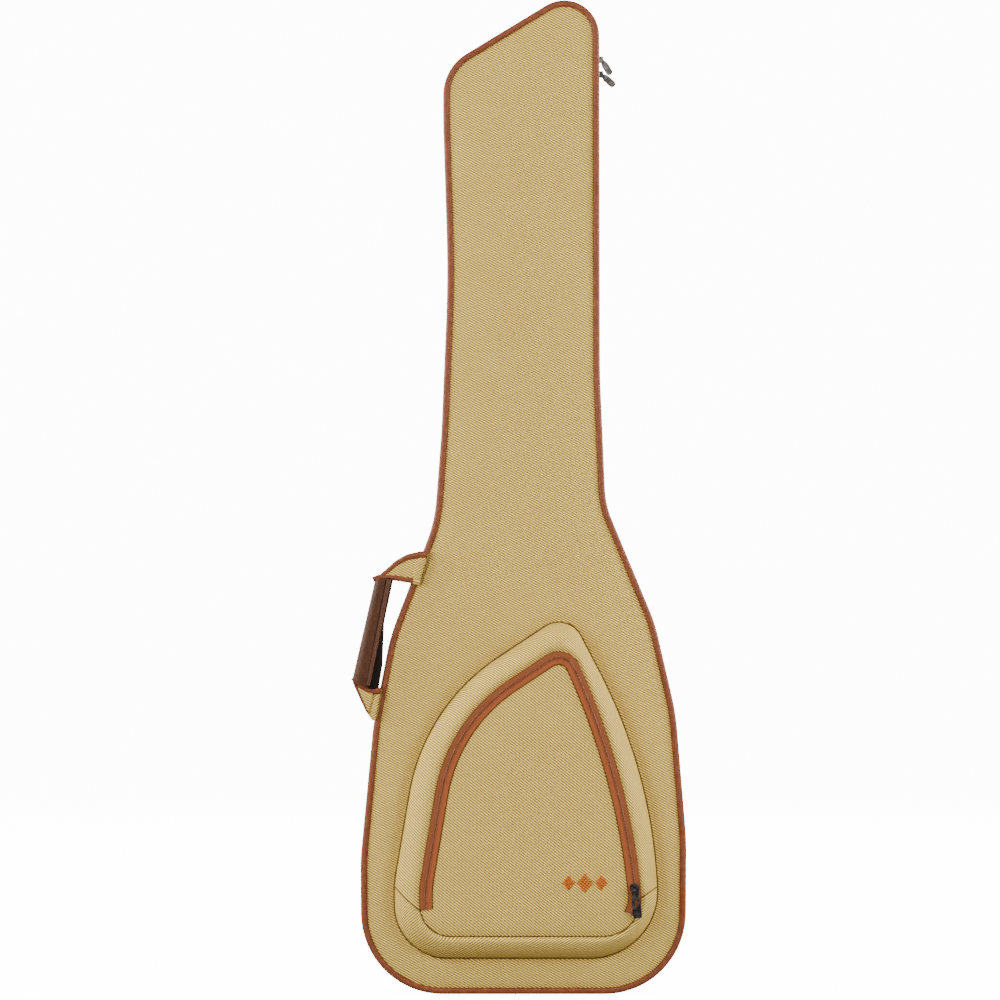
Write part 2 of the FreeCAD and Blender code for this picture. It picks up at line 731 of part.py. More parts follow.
HELPERS = {"grip_outside", "grip_hollow"}
nodes = [o for o in doc.Objects if o.TypeId in ("PartDesign::Body", "Part::Cut") and o.Label not in HELPERS]
failed = [o.Label for o in doc.Objects if {"Invalid", "Error"} & set(o.State)]
failed += [o.Label for o in nodes if o.Shape.isNull() or not o.Shape.isValid() or not o.Shape.Solids]
if failed:
    raise RuntimeError("not built: " + ", ".join(failed))
for node in nodes:
    node.Shape.exportStep(f"parts/{node.Label}.step")
print(len(nodes), "nodes")
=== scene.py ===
import math

import bmesh
import bpy
import numpy as np
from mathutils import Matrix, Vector
from mathutils.geometry import delaunay_2d_cdt


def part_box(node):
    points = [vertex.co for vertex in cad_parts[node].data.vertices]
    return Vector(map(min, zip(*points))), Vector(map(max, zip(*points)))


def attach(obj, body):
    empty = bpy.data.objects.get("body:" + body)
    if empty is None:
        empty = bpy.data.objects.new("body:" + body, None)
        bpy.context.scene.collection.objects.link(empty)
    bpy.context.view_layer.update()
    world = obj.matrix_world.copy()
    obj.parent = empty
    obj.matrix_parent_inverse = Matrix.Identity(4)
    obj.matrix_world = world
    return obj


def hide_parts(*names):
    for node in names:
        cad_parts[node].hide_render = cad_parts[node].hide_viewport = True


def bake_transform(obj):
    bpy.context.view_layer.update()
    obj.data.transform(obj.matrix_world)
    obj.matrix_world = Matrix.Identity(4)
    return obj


# Padded gig bag in woven tweed. Metres; +Z up along the bag, the front faces -Y.
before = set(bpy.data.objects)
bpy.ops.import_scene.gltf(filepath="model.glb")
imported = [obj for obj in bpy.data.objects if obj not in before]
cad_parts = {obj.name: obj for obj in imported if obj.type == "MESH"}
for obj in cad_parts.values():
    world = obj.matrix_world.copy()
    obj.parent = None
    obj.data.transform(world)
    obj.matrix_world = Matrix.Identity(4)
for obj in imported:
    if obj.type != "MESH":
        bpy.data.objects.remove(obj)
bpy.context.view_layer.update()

# ---------------------------------------------------------------- outlines, as corners (x, z, radius)

BAG = [
    (-0.1955, 0, 0.100), (-0.197, 0.165, 0.300), (-0.181, 0.332, 0.300), (-0.1605, 0.438, 0.220),
    (-0.106, 0.580, 0.170), (-0.0975, 0.690, 0.700), (-0.0895, 0.880, 1.500), (-0.0955, 1.070, 0.900),
    (-0.0955, 1.136, 0.058), (0.096, 1.2522, 0.043), (0.097, 0.760, 0.900), (0.104, 0.600, 0.110),
    (0.1645, 0.455, 0.200), (0.190, 0.345, 0.300), (0.203, 0.190, 0.400), (0.202, 0, 0.100),
]
POCKET = [
    (-0.154, 0.045, 0.065), (-0.155, 0.135, 0.150), (-0.1184, 0.3529, 0.250), (0.0576, 0.4693, 0.030),
    (0.1585, 0.275, 0.640), (0.172, 0.045, 0.082),
]
POCKET_ZIP = [
    (-0.116, 0.080, 0.030), (-0.1167, 0.132, 0.115), (-0.083, 0.332, 0.200), (0.0548, 0.4232, 0.020),
    (0.1249, 0.2615, 0.880), (0.144, 0.080, 0.040),
]
TIGHTEST = 0.018
THROAT = 0.588
SIDE_LOW = 0.130
POCKET_FOLD = 0.093
ZIP_END_LEFT = 0.106
ZIP_END_RIGHT = 0.100
FOLD_TOP = Vector((-0.106, -0.050, THROAT))
FOLD_LOW = Vector((-0.199, -0.050, SIDE_LOW))
STEP = 0.006
FRONT = -0.050
REAR = 0.050
WALL = 0.0085

# The cloth simulation: air pressure, frames, and how far a corner may move.
PUFF_PRESSURE = 4.0
PUFF_FRAMES = 20
PUFF_LIMIT = 0.003


def unit(a, b):
    length = math.hypot(b[0] - a[0], b[1] - a[1])
    return ((b[0] - a[0]) / length, (b[1] - a[1]) / length)


def inset_corners(corners, inset):
    moved = []
    for i, (x, z, radius) in enumerate(corners):
        before = unit(corners[i - 1], corners[i])
        after = unit(corners[i], corners[(i + 1) % len(corners)])
        n0 = (before[1], -before[0])
        n1 = (after[1], -after[0])
        scale = inset / (1 + n0[0] * n1[0] + n0[1] * n1[1])
        turn = before[0] * after[1] - before[1] * after[0]
        changed = radius - inset if turn < 0 else radius + inset
        moved.append((x + scale * (n0[0] + n1[0]), z + scale * (n0[1] + n1[1]), max(changed, TIGHTEST)))
    return moved


def lengths_along(line):
    """The running length at each point of a line."""
    return np.concatenate([[0], np.cumsum(np.linalg.norm(np.diff(line, axis=0), axis=1))])


def at_lengths(line, along, wanted):
    """The points of a line at the wanted running lengths."""
    return np.stack([np.interp(wanted, along, line[:, k]) for k in range(line.shape[1])], axis=1)


def looped(points):
    """The same points, with the first one again at the end."""
    return np.vstack([points, points[:1]])


def resample(points, step, closed=True):
    """The same line with evenly spaced points."""
    line = looped(points) if closed else np.asarray(points, float)
    along = lengths_along(line)
    wanted = np.linspace(0, along[-1], max(3, int(round(along[-1] / step))) + 1)
    return at_lengths(line, along, wanted[:-1] if closed else wanted)


def outline(corners, inset=0.0, step=STEP):
    """Evenly spaced points (x, z) of a rounded outline, clockwise."""
    corners = inset_corners(corners, inset) if inset else corners
    dense = []
    for i, (x, z, radius) in enumerate(corners):
        back = unit(corners[i], corners[i - 1])
        ahead = unit(corners[i], corners[(i + 1) % len(corners)])
        half = math.acos(max(-1.0, min(1.0, back[0] * ahead[0] + back[1] * ahead[1]))) / 2
        middle = unit((0, 0), (back[0] + ahead[0], back[1] + ahead[1]))
        reach = radius / math.sin(half)
        centre = (x + middle[0] * reach, z + middle[1] * reach)
        tangent = radius / math.tan(half)
        first = math.atan2(z + back[1] * tangent - centre[1], x + back[0] * tangent - centre[0])
        last = math.atan2(z + ahead[1] * tangent - centre[1], x + ahead[0] * tangent - centre[0])
        sweep_angle = (last - first + math.pi) % (2 * math.pi) - math.pi
        for k in range(25):
            a = first + sweep_angle * k / 24
            dense.append((centre[0] + radius * math.cos(a), centre[1] + radius * math.sin(a)))
    return resample(np.array(dense), step)


def outward(path, closed=True):
    """Unit normals that point out of a clockwise path."""
    if closed:
        ahead = np.roll(path, -1, axis=0) - np.roll(path, 1, axis=0)
    else:
        ahead = np.gradient(path, axis=0)
    ahead /= np.linalg.norm(ahead, axis=1, keepdims=True)
    return np.stack([-ahead[:, 1], ahead[:, 0]], axis=1)


def stretch_between(path, first, last, step=STEP):
    """The open stretch of a clockwise closed path from one (side, z) crossing to another."""
    line = looped(path)
    along = lengths_along(line)

    def place(side, z):
        for i in range(len(line) - 1):
            a, b = line[i], line[i + 1]
            if (a[1] - z) * (b[1] - z) <= 0 and a[1] != b[1] and (a[0] + b[0]) * side > 0:
                return along[i] + (along[i + 1] - along[i]) * (z - a[1]) / (b[1] - a[1])
        raise ValueError((side, z))

    start, end = place(*first), place(*last)
    if end <= start:
        end += along[-1]
    count = max(2, int(round((end - start) / step)))
    return at_lengths(line, along, np.linspace(start, end, count + 1) % along[-1])


def clip(points, origin, normal):
    """The part of a closed outline on the side of a line that normal points to."""
    kept = []
    side = (points - np.array(origin)) @ np.array(normal)
    for i, point in enumerate(points):
        j = (i + 1) % len(points)
        if side[i] >= 0:
            kept.append(point)
        if side[i] * side[j] < 0:
            t = side[i] / (side[i] - side[j])
            kept.append(point * (1 - t) + points[j] * t)
    return np.array(kept)


def inside(points, loop):
    """Which points lie inside a closed outline."""
    x, z = points[:, 0][:, None], points[:, 1][:, None]
    x0, z0 = loop[:, 0][None], loop[:, 1][None]
    x1, z1 = np.roll(loop[:, 0], -1)[None], np.roll(loop[:, 1], -1)[None]
    crosses = (z0 > z) != (z1 > z)
    rise = np.where(z1 == z0, 1e-12, z1 - z0)
    at = x0 + (z - z0) * (x1 - x0) / rise
    return (np.sum(crosses & (x < at), axis=1) % 2) == 1


def distance(points, loop):
    """Distance of each point from a closed outline."""
    best = np.full(len(points), 9.0)
    for a, b in zip(loop, np.roll(loop, -1, axis=0)):
        d = b - a
        t = np.clip(((points - a) @ d) / max(d @ d, 1e-14), 0, 1)
        best = np.minimum(best, np.linalg.norm(points - (a + t[:, None] * d), axis=1))
    return best


def beside(x, z, loop, reach):
    """1 on a closed outline, falling to nothing about two reaches away from it."""
    away = distance(np.stack([np.asarray(x), np.asarray(z)], axis=1), loop)
    return np.exp(-((away / reach) ** 2))


class Crown:
    """The height, from 0 at an outline to about 1, of cloth that is filled from below."""

    def __init__(self, loop, reach, cell=0.004):
        low = loop.min(axis=0) - cell
        count = np.ceil((loop.max(axis=0) - low) / cell).astype(int) + 2
        self.low, self.cell = low, cell
        xs = low[0] + np.arange(count[0]) * cell
        zs = low[1] + np.arange(count[1]) * cell
        grid = np.stack(np.meshgrid(xs, zs, indexing="ij"), axis=-1).reshape(-1, 2)
        mask = inside(grid, loop).reshape(count)
        height = np.zeros(count)
        pull = (cell / reach) ** 2
        for _ in range(int(3.5 * (reach / cell) ** 2) + 200):
            near = np.zeros_like(height)
            near[1:-1, 1:-1] = (
                height[2:, 1:-1] + height[:-2, 1:-1] + height[1:-1, 2:] + height[1:-1, :-2]
            )
            height = np.where(mask, (near + pull) / (4 + pull), 0)
        self.height = height

    def __call__(self, x, z):
        u = np.clip((np.asarray(x) - self.low[0]) / self.cell, 0, self.height.shape[0] - 1.001)
        v = np.clip((np.asarray(z) - self.low[1]) / self.cell, 0, self.height.shape[1] - 1.001)
        i, j = u.astype(int), v.astype(int)
        fu, fv = u - i, v - j
        h = self.height
        return (
            h[i, j] * (1 - fu) * (1 - fv)
            + h[i + 1, j] * fu * (1 - fv)
            + h[i, j + 1] * (1 - fu) * fv
            + h[i + 1, j + 1] * fu * fv
        )


# ---------------------------------------------------------------- materials


class Nodes:
    """A short way to write a material's node tree."""

    def __init__(self, name):
        self.mat = bpy.data.materials.new(name)
        self.mat.use_nodes = True
        self.tree = self.mat.node_tree
        self.tree.nodes.clear()
        out = self.add("ShaderNodeOutputMaterial")
        self.shader = self.add("ShaderNodeBsdfPrincipled")
        self.plug(self.shader.outputs[0], out.inputs[0])

    def add(self, kind, **settings):
        node = self.tree.nodes.new(kind)
        for key, value in settings.items():
            setattr(node, key, value)
        return node

    def plug(self, value, socket):
        if isinstance(value, bpy.types.NodeSocket):
            self.tree.links.new(value, socket)
        else:
            socket.default_value = value

    def math(self, operation, a, b=0.0, clamp=False):
        node = self.add("ShaderNodeMath", operation=operation, use_clamp=clamp)
        self.plug(a, node.inputs[0])
        self.plug(b, node.inputs[1])
        return node.outputs[0]

    def plus(self, a, b, clamp=False):
        return self.math("ADD", a, b, clamp)

    def times(self, a, b, clamp=False):
        return self.math("MULTIPLY", a, b, clamp)

    def wave(self, value, period):
        return self.math("SINE", self.times(value, 2 * math.pi / period))

    def coords(self, source="object"):
        """Object coordinates, or a piece's own lengths along and across it."""
        if source == "uv":
            return self.add("ShaderNodeUVMap", uv_map="lengths").outputs[0]
        return self.add("ShaderNodeTexCoord").outputs["Object"]

    def axes(self, where, source):
        """The two coordinates that run in the surface."""
        parts = self.add("ShaderNodeSeparateXYZ")
        self.plug(where, parts.inputs[0])
        return parts.outputs[0], parts.outputs[1 if source == "uv" else 2]

    def texture(self, kind, where, scale, **settings):
        node = self.add("ShaderNodeTex" + kind, **settings)
        self.plug(where, node.inputs["Vector"])
        node.inputs["Scale"].default_value = scale
        return node

    def noise(self, where, scale, detail=3.0, rough=0.55):
        node = self.texture("Noise", where, scale)
        node.inputs["Detail"].default_value = detail
        node.inputs["Roughness"].default_value = rough
        return node.outputs[0]

    def ramp(self, value, *stops):
        node = self.add("ShaderNodeValToRGB")
        self.plug(value, node.inputs[0])
        while len(node.color_ramp.elements) < len(stops):
            node.color_ramp.elements.new(0.5)
        for element, (place, colour) in zip(node.color_ramp.elements, stops):
            element.position = place
            element.color = (*colour, 1)
        return node.outputs[0]

    def mix(self, share, base, colour):
        """Some of a plain colour mixed into another."""
        node = self.add("ShaderNodeMix", data_type="RGBA")
        self.plug(share, node.inputs[0])
        self.plug(base, node.inputs[6])
        self.plug((*colour, 1), node.inputs[7])
        return node.outputs[2]

    def finish(self, colour, height=None, depth=0.0004, rough=0.6, **sockets):
        self.plug(colour, self.shader.inputs["Base Color"])
        self.plug(rough, self.shader.inputs["Roughness"])
        for key, value in sockets.items():
            self.shader.inputs[key.replace("_", " ")].default_value = value
        if height is not None:
            bump = self.add("ShaderNodeBump")
            bump.inputs["Strength"].default_value = 1.0
            bump.inputs["Distance"].default_value = depth
            self.plug(height, bump.inputs["Height"])
            self.plug(bump.outputs[0], self.shader.inputs["Normal"])
        return self.mat


def srgb(r, g, b):
    def one(c):
        c /= 255
        return c / 12.92 if c <= 0.04045 else ((c + 0.055) / 1.055) ** 2.4

    return (one(r), one(g), one(b))


def tweed(name, source="object", angle=-29.0, pitch=0.00273):
    """Coarse two-colour twill: pale threads float over darker ones in diagonal lines."""
    dash, stagger = 0.0060, 0.37
    n = Nodes(name)
    where = n.coords(source)
    p, q = n.axes(where, source)
    cos, sin = math.cos(math.radians(angle)), math.sin(math.radians(angle))
    along = n.plus(n.times(p, cos), n.times(q, sin))
    across = n.math("SUBTRACT", n.times(q, cos), n.times(p, sin))
    line = n.math("DIVIDE", n.plus(across, n.times(n.noise(where, 9.0, 1.0), 0.0022)), pitch)
    stepped = n.plus(n.math("DIVIDE", along, dash), n.times(n.math("FLOOR", line), stagger))
    height = n.plus(n.times(n.wave(line, 1), 0.80), n.times(n.wave(stepped, 1), 0.10))
    height = n.plus(n.times(height, 0.6), 0.5, clamp=True)
    fibre = n.noise(where, 1400.0, 2.0)
    shade = n.plus(height, n.times(n.math("SUBTRACT", fibre, 0.5), 0.5), clamp=True)
    colour = n.ramp(shade, (0.08, srgb(104, 78, 14)), (0.48, srgb(184, 148, 58)), (0.92, srgb(236, 208, 122)))
    colour = n.mix(n.times(n.noise(where, 22.0), 0.32), colour, srgb(158, 122, 42))
    rough = n.plus(n.times(fibre, 0.25), 0.45)
    return n.finish(colour, height, 0.00035, rough, Specular_IOR_Level=0.1)


def leather(name, light, dark, grain=900.0, rough=0.48, wear=None, gloss=0.22):
    """Coated cloth with a fine pebble and paler rubbed ridges."""
    n = Nodes(name)
    where = n.coords()
    cells = n.texture("Voronoi", where, grain, feature="DISTANCE_TO_EDGE")
    pebble = n.times(cells.outputs["Distance"], 2.0, clamp=True)
    patches = n.noise(where, 55.0, 4.0)
    colour = n.ramp(patches, (0.3, dark), (0.7, light))
    colour = n.mix(n.math("SUBTRACT", 1.0, pebble, clamp=True), colour, tuple(c * 0.6 for c in dark))
    if wear:
        rub = n.math("POWER", n.noise(where, 190.0, 5.0, 0.7), 4.0)
        colour = n.mix(n.times(rub, 1.4, clamp=True), colour, wear)
    shine = n.plus(n.times(patches, 0.2), rough - 0.1)
    return n.finish(colour, pebble, 0.00012, shine, Specular_IOR_Level=gloss)


def tape(name, light, dark, rib=0.0016, depth=0.0002):
    """Narrow woven tape with chevron ribs along its length."""
    n = Nodes(name)
    where = n.coords("uv")
    p, q = n.axes(where, "uv")
    ribs = n.wave(n.plus(p, n.times(n.math("PINGPONG", q, 0.002), 1.1)), rib)
    cross = n.wave(q, rib * 0.75)
    height = n.plus(n.times(n.plus(ribs, n.times(cross, 0.5)), 0.3), 0.5)
    fibre = n.noise(where, 2200.0, 2.0)
    shade = n.plus(height, n.times(n.math("SUBTRACT", fibre, 0.5), 0.6), clamp=True)
    colour = n.ramp(shade, (0.1, dark), (0.9, light))
    return n.finish(colour, height, depth, 0.6, Specular_IOR_Level=0.15)


def plush(name, light, dark):
    """Brushed lining: short soft pile that catches light at its edges."""
    n = Nodes(name)
    where = n.coords()
    pile = n.noise(where, 900.0, 5.0, 0.8)
    brushed = n.noise(where, 38.0, 4.0, 0.7)
    shade = n.plus(n.times(pile, 0.6), n.times(brushed, 0.4))
    colour = n.ramp(shade, (0.3, dark), (0.7, light))
    return n.finish(colour, pile, 0.0006, 0.9, Sheen_Weight=0.5, Specular_IOR_Level=0.1)


def foam(name, light, dark):
    """Small open cells."""
    n = Nodes(name)
    cells = n.texture("Voronoi", n.coords(), 700.0).outputs["Distance"]
    return n.finish(n.ramp(cells, (0.0, dark), (0.6, light)), cells, 0.0003, 0.85)


def mesh_cloth(name, light, dark):
    """Open spacer mesh: rows of small dark holes in a knitted face."""
    hole = 0.0032
    n = Nodes(name)
    where = n.coords()
    across, up = n.axes(where, "object")
    both = n.plus(n.times(n.times(n.wave(across, hole), n.wave(up, hole * 1.2)), 0.5), 0.5)
    shade = n.plus(n.times(both, 0.8), n.times(n.noise(where, 1500.0, 2.0), 0.3), clamp=True)
    return n.finish(n.ramp(shade, (0.2, dark), (0.6, light)), both, 0.0005, 0.75, Sheen_Weight=0.2)


def metal(name, colour, worn):
    """Dark plated die-casting with fine scratches and rubbed spots."""
    n = Nodes(name)
    where = n.coords()
    stretch = n.add("ShaderNodeMapping")
    n.plug(where, stretch.inputs[0])
    stretch.inputs["Scale"].default_value = (1.0, 1.0, 0.08)
    scratches = n.noise(stretch.outputs[0], 2600.0, 4.0, 0.7)
    tone = n.ramp(n.noise(where, 160.0), (0.42, colour), (0.72, worn))
    return n.finish(tone, scratches, 0.00004, n.plus(n.times(scratches, 0.25), 0.2), Metallic=1.0)


def plastic(name, colour):
    """Moulded plastic with a faint grain."""
    n = Nodes(name)
    grain = n.noise(n.coords(), 1800.0, 3.0, 0.6)
    tone = n.ramp(grain, (0.3, tuple(c * 0.8 for c in colour)), (0.7, tuple(c * 1.3 for c in colour)))
    return n.finish(tone, grain, 0.00008, 0.45)


def thread(name, colour):
    """Twisted sewing thread."""
    n = Nodes(name)
    twist = n.texture("Wave", n.coords(), 900.0).outputs[1]
    tone = n.ramp(twist, (0.0, tuple(c * 0.65 for c in colour)), (1.0, colour))
    return n.finish(tone, twist, 0.0001, 0.6, Specular_IOR_Level=0.12)


TWEED = tweed("tweed_cloth")
TWEED_LOWER = tweed("tweed_cut_across", source="uv", angle=32.0)
TWEED_BORDER = tweed("tweed_cut_steep", source="uv", angle=-42.0)
TWEED_POCKET = tweed("tweed_pocket", angle=-38.0, pitch=0.00282)
TWEED_STRIP = tweed("tweed_strip", source="uv", angle=-60.0)
PIPING = leather("piping_leatherette", srgb(140, 70, 33), srgb(106, 50, 23), wear=srgb(160, 90, 50))
GRIP = leather("grip_leatherette", srgb(98, 58, 33), srgb(66, 38, 21), grain=700.0, rough=0.55, gloss=0.12)
# Terracotta binding leatherette in a darker copy: painted shade on the grip's bound edge.
GRIP_EDGE_PAINTED_SHADE = leather("grip_edge_leatherette_painted_shade", srgb(104, 58, 32), srgb(78, 42, 23))
# Dark brown lining made near black: painted shade on the grip's open inner side.
GRIP_INNER_PAINTED_SHADE = leather("grip_inner_lining_painted_shade", srgb(34, 20, 12), srgb(16, 10, 7), grain=700.0, rough=0.6,
                    gloss=0.08)
PATCH = leather("patch_leatherette", srgb(126, 68, 36), srgb(94, 48, 24), wear=srgb(156, 96, 60))
ZIP_TAPE = tape("zip_tape_weave", srgb(96, 66, 48), srgb(58, 38, 27))
POCKET_TAPE = tape("pocket_tape_weave", srgb(160, 84, 40), srgb(108, 52, 22))
# A darker copy of the pocket tape: painted shade on the zip's outer side.
POCKET_TAPE_PAINTED_SHADE = tape("pocket_tape_shade", srgb(142, 78, 40), srgb(92, 48, 22))
COIL = plastic("coil_nylon", srgb(64, 36, 20))
POCKET_COIL = plastic("pocket_coil_nylon", srgb(118, 62, 30))
WEBBING = tape("webbing_weave", srgb(74, 54, 42), srgb(38, 27, 20), rib=0.0024, depth=0.0004)
LINING = plush("plush_lining", srgb(104, 84, 68), srgb(58, 44, 34))
FOAM = foam("padding_foam", srgb(120, 120, 122), srgb(82, 82, 84))
PAD_MESH = mesh_cloth("pad_spacer_mesh", srgb(84, 62, 48), srgb(34, 24, 18))
GUNMETAL = metal("gunmetal_plate", srgb(40, 37, 36), srgb(84, 80, 78))
BUCKLE = plastic("buckle_acetal", srgb(44, 38, 34))
THREAD_BROWN = thread("thread_brown", srgb(120, 72, 48))
THREAD_PALE = thread("thread_pale", srgb(206, 178, 120))
THREAD_ORANGE = thread("thread_orange", srgb(198, 86, 6))
# Dark brown cord for the groove beside the pocket zip: painted shade.
GROOVE_PAINTED_SHADE = thread("groove_painted_shade", srgb(92, 58, 24))
# Dark olive cord laid in seams and folds: painted shade where the cloth dips.
SEAM_SHADE = thread("seam_painted_shade", srgb(104, 82, 30))

# ---------------------------------------------------------------- mesh helpers


def add_object(name, data):
    """A new object in the scene."""
    obj = bpy.data.objects.new(name, data)
    bpy.context.scene.collection.objects.link(obj)
    return obj


def new_piece(name, verts, faces, material, uvs=None, smooth=True):
    mesh = bpy.data.meshes.new(name)
    mesh.from_pydata([tuple(v) for v in verts], [], faces)
    if uvs is not None:
        layer = mesh.uv_layers.new(name="lengths")
        flat = np.array(uvs, float)[np.array([l.vertex_index for l in mesh.loops])]
        layer.data.foreach_set("uv", flat.ravel())
    bm = bmesh.new()
    bm.from_mesh(mesh)
    bmesh.ops.recalc_face_normals(bm, faces=bm.faces)
    bm.to_mesh(mesh)
    bm.free()
    obj = add_object(name, mesh)
    for m in material if isinstance(material, (list, tuple)) else [material]:
        mesh.materials.append(m)
    mesh.polygons.foreach_set("use_smooth", [smooth] * len(mesh.polygons))
    return obj


def settle(obj, body, *nodes, bend=None, fill=None):
    """Puts a finished piece on its body in place of its CAD nodes; a piece given a bend stays in place on no
    body.
    """
    if bend:
        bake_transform(obj)
    else:
        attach(obj, body)
    if nodes:
        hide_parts(*nodes)


def sharpen(obj, degrees=40):
    """Smooth faces that turn gently into each other, and keep real edges crisp."""
    obj.data.set_sharp_from_angle(angle=math.radians(degrees))
    return obj


def skin(count, wide, closed=False, start=0):
    """Faces round a row of rings of points, with an end face at each end unless the row is closed."""
    faces = []
    for i in range(count if closed else count - 1):
        a, b = start + i * wide, start + (i + 1) % count * wide
        for k in range(wide):
            m = (k + 1) % wide
            faces.append((a + k, a + m, b + m, b + k))
    if not closed:
        end = start + count * wide
        faces += [tuple(range(start, start + wide)), tuple(range(end - 1, end - wide - 1, -1))]
    return faces


def sweep(name, path, profile, material, closed=True):
    """A closed section carried along a path in the bag's plane. Section points are (out, y)."""
    lengths, widths = lengths_along(path), lengths_along(looped(profile))
    verts, uvs = [], []
    for p, n, length in zip(path, outward(path, closed), lengths):
        for (out, y), width in zip(profile, widths):
            verts.append((p[0] + n[0] * out, y, p[1] + n[1] * out))
            uvs.append((length, width))
    return new_piece(name, verts, skin(len(path), len(profile), closed), material, uvs)


def layer_mesh(name, loop, front, back, material, spacing=STEP, rings=(0.0022, 0.005, 0.009)):
    """A closed padded layer: one face follows front(x, z), the other back(x, z)."""
    normals = outward(loop)
    points = [loop]
    for ring in rings:
        moved = loop - normals * ring
        points.append(moved[inside(moved, loop) & (distance(moved, loop) > ring * 0.93)])
    low, high = loop.min(axis=0), loop.max(axis=0)
    xs = np.arange(low[0] + spacing / 2, high[0], spacing)
    zs = np.arange(low[1] + spacing / 2, high[1], spacing)
    grid = np.array([(x + (spacing / 2 if k % 2 else 0), z) for k, z in enumerate(zs) for x in xs])
    grid = grid[inside(grid, loop)]
    points.append(grid[distance(grid, loop) > (rings[-1] if rings else 0) + spacing * 0.5])
    border = [(i, (i + 1) % len(loop)) for i in range(len(loop))]
    flat, _, triangles, sources = delaunay_2d_cdt(
        [Vector(p) for p in np.vstack(points)], border, [], 1, 1e-7)[:4]
    flat, count = np.array([tuple(v) for v in flat]), len(flat)
    new_of = {old: new for new, olds in enumerate(sources) for old in olds}
    verts = [(x, y, z) for side in (front, back) for (x, z), y in zip(flat, side(flat[:, 0], flat[:, 1]))]
    faces = [tuple(t) for t in triangles] + [tuple(i + count for i in reversed(t)) for t in triangles]
    for a, b in ((new_of[i], new_of[j]) for i, j in border):
        faces.append((a, b, b + count, a + count))
    return sharpen(new_piece(name, verts, faces, material, [tuple(p) for p in flat] * 2), 50)


def corners_of(mesh):
    """A mesh's corners as an array."""
    flat = np.empty(len(mesh.vertices) * 3)
    mesh.vertices.foreach_get("co", flat)
    return flat.reshape(-1, 3)


def height_at(obj, x, z):
    """The highest y of a pad's skin near (x, z)."""
    points = corners_of(obj.data)
    near = np.hypot(points[:, 0] - x, points[:, 2] - z) < 0.004
    return float(points[near, 1].max())


def evaluated(obj):
    """A plain mesh of an object as its modifiers leave it."""
    return bpy.data.meshes.new_from_object(obj.evaluated_get(bpy.context.evaluated_depsgraph_get()))


def inflate(obj, rest_y, side, voxel):
    """Lets air pressure puff a closed pad as sewn cloth, and keeps the result as plain mesh.

    The pad stays flat at y = rest_y, where it lies on something; side is the way it puffs."""
    material = obj.data.materials[0]
    copy = add_object(obj.name + "_sim", obj.data.copy())
    remesh = copy.modifiers.new("voxels", "REMESH")
    remesh.mode, remesh.voxel_size = "VOXEL", voxel
    start = evaluated(copy)
    copy.modifiers.clear()
    copy.data = start
    before = corners_of(start)
    cloth = copy.modifiers.new("cloth", "CLOTH")
    cloth.settings.use_pressure = True
    cloth.settings.uniform_pressure_force = PUFF_PRESSURE
    cloth.settings.effector_weights.gravity = 0.0
    for frame_number in range(1, PUFF_FRAMES + 1):
        bpy.context.scene.frame_set(frame_number)
    move = corners_of(evaluated(copy)) - before
    size = np.linalg.norm(move, axis=1, keepdims=True)
    after = before + move * np.minimum(1.0, PUFF_LIMIT / np.maximum(size, 1e-9))
    after[:, 1] = side * np.maximum(side * after[:, 1], side * rest_y)
    start.vertices.foreach_set("co", after.ravel())
    bpy.context.scene.frame_set(1)
    copy.modifiers.clear()
    smooth = copy.modifiers.new("smooth", "SUBSURF")
    smooth.levels = smooth.render_levels = 1
    final = evaluated(copy)
    bpy.data.objects.remove(copy)
    final.materials.clear()
    final.materials.append(material)
    final.polygons.foreach_set("use_smooth", [True] * len(final.polygons))
    obj.data = final


def constant(value):
    return lambda x, z: np.full(np.shape(x), value)


def stitches(name, line, normal, material, pitch=0.0042, length=0.0028, thick=0.0005):
    """A row of short raised stitches along a line of 3-D points."""
    line = resample(line, pitch, closed=False)
    verts, faces = [], []
    up = Vector(normal)
    for a, b in zip(line[:-1], line[1:]):
        along = (Vector(b) - Vector(a)).normalized()
        side = along.cross(up).normalized() * thick
        middle = (Vector(a) + Vector(b)) / 2
        half = along * length / 2
        faces += skin(4, 4, start=len(verts))
        for place, grow in ((-1.0, 0.45), (-0.6, 1.0), (0.6, 1.0), (1.0, 0.45)):
            lift = up * thick * (1.0 if abs(place) < 1 else 0.1)
            centre = middle + half * place
            verts += [centre + side * grow - up * thick, centre + side * grow * 0.7 + lift,
                      centre - side * grow * 0.7 + lift, centre - side * grow - up * thick]
    return new_piece(name, verts, faces, material)


def bulged_strip(inner, outer, y_front, y_back, bulge):
    """Section of a wall strip that swells outwards between its two seams."""
    bow = [(outer + bulge * math.sin(math.pi * t), y_back + (y_front - y_back) * t)
           for t in np.linspace(0, 1, 7)]
    return [(inner, y_back), *bow, (inner, y_front)]


def tube(name, points, radius, material, closed=False, sides=6):
    """A round cord through 3-D points."""
    points = [Vector(p) for p in points]
    count = len(points)
    verts, uvs, length = [], [], 0.0
    for i, p in enumerate(points):
        ahead = points[(i + 1) % count] if closed or i + 1 < count else p
        behind = points[i - 1] if closed or i > 0 else p
        along = (ahead - behind).normalized()
        side = along.cross(Vector((0, 1, 0)))
        side = side.normalized() if side.length > 0.05 else Vector((1, 0, 0))
        up = along.cross(side).normalized()
        length += (p - behind).length if i else 0
        for a in (2 * math.pi * k / sides for k in range(sides)):
            verts.append(p + side * (radius * math.cos(a)) + up * (radius * math.sin(a)))
            uvs.append((length, radius * a))
    return new_piece(name, verts, skin(count, sides, closed), material, uvs)


def seam(name, points, radius, body, closed=False, material=SEAM_SHADE):
    """A dark cord along a seam or fold: painted shade in the dip beside it."""
    settle(tube(name, points, radius, material, closed), body)


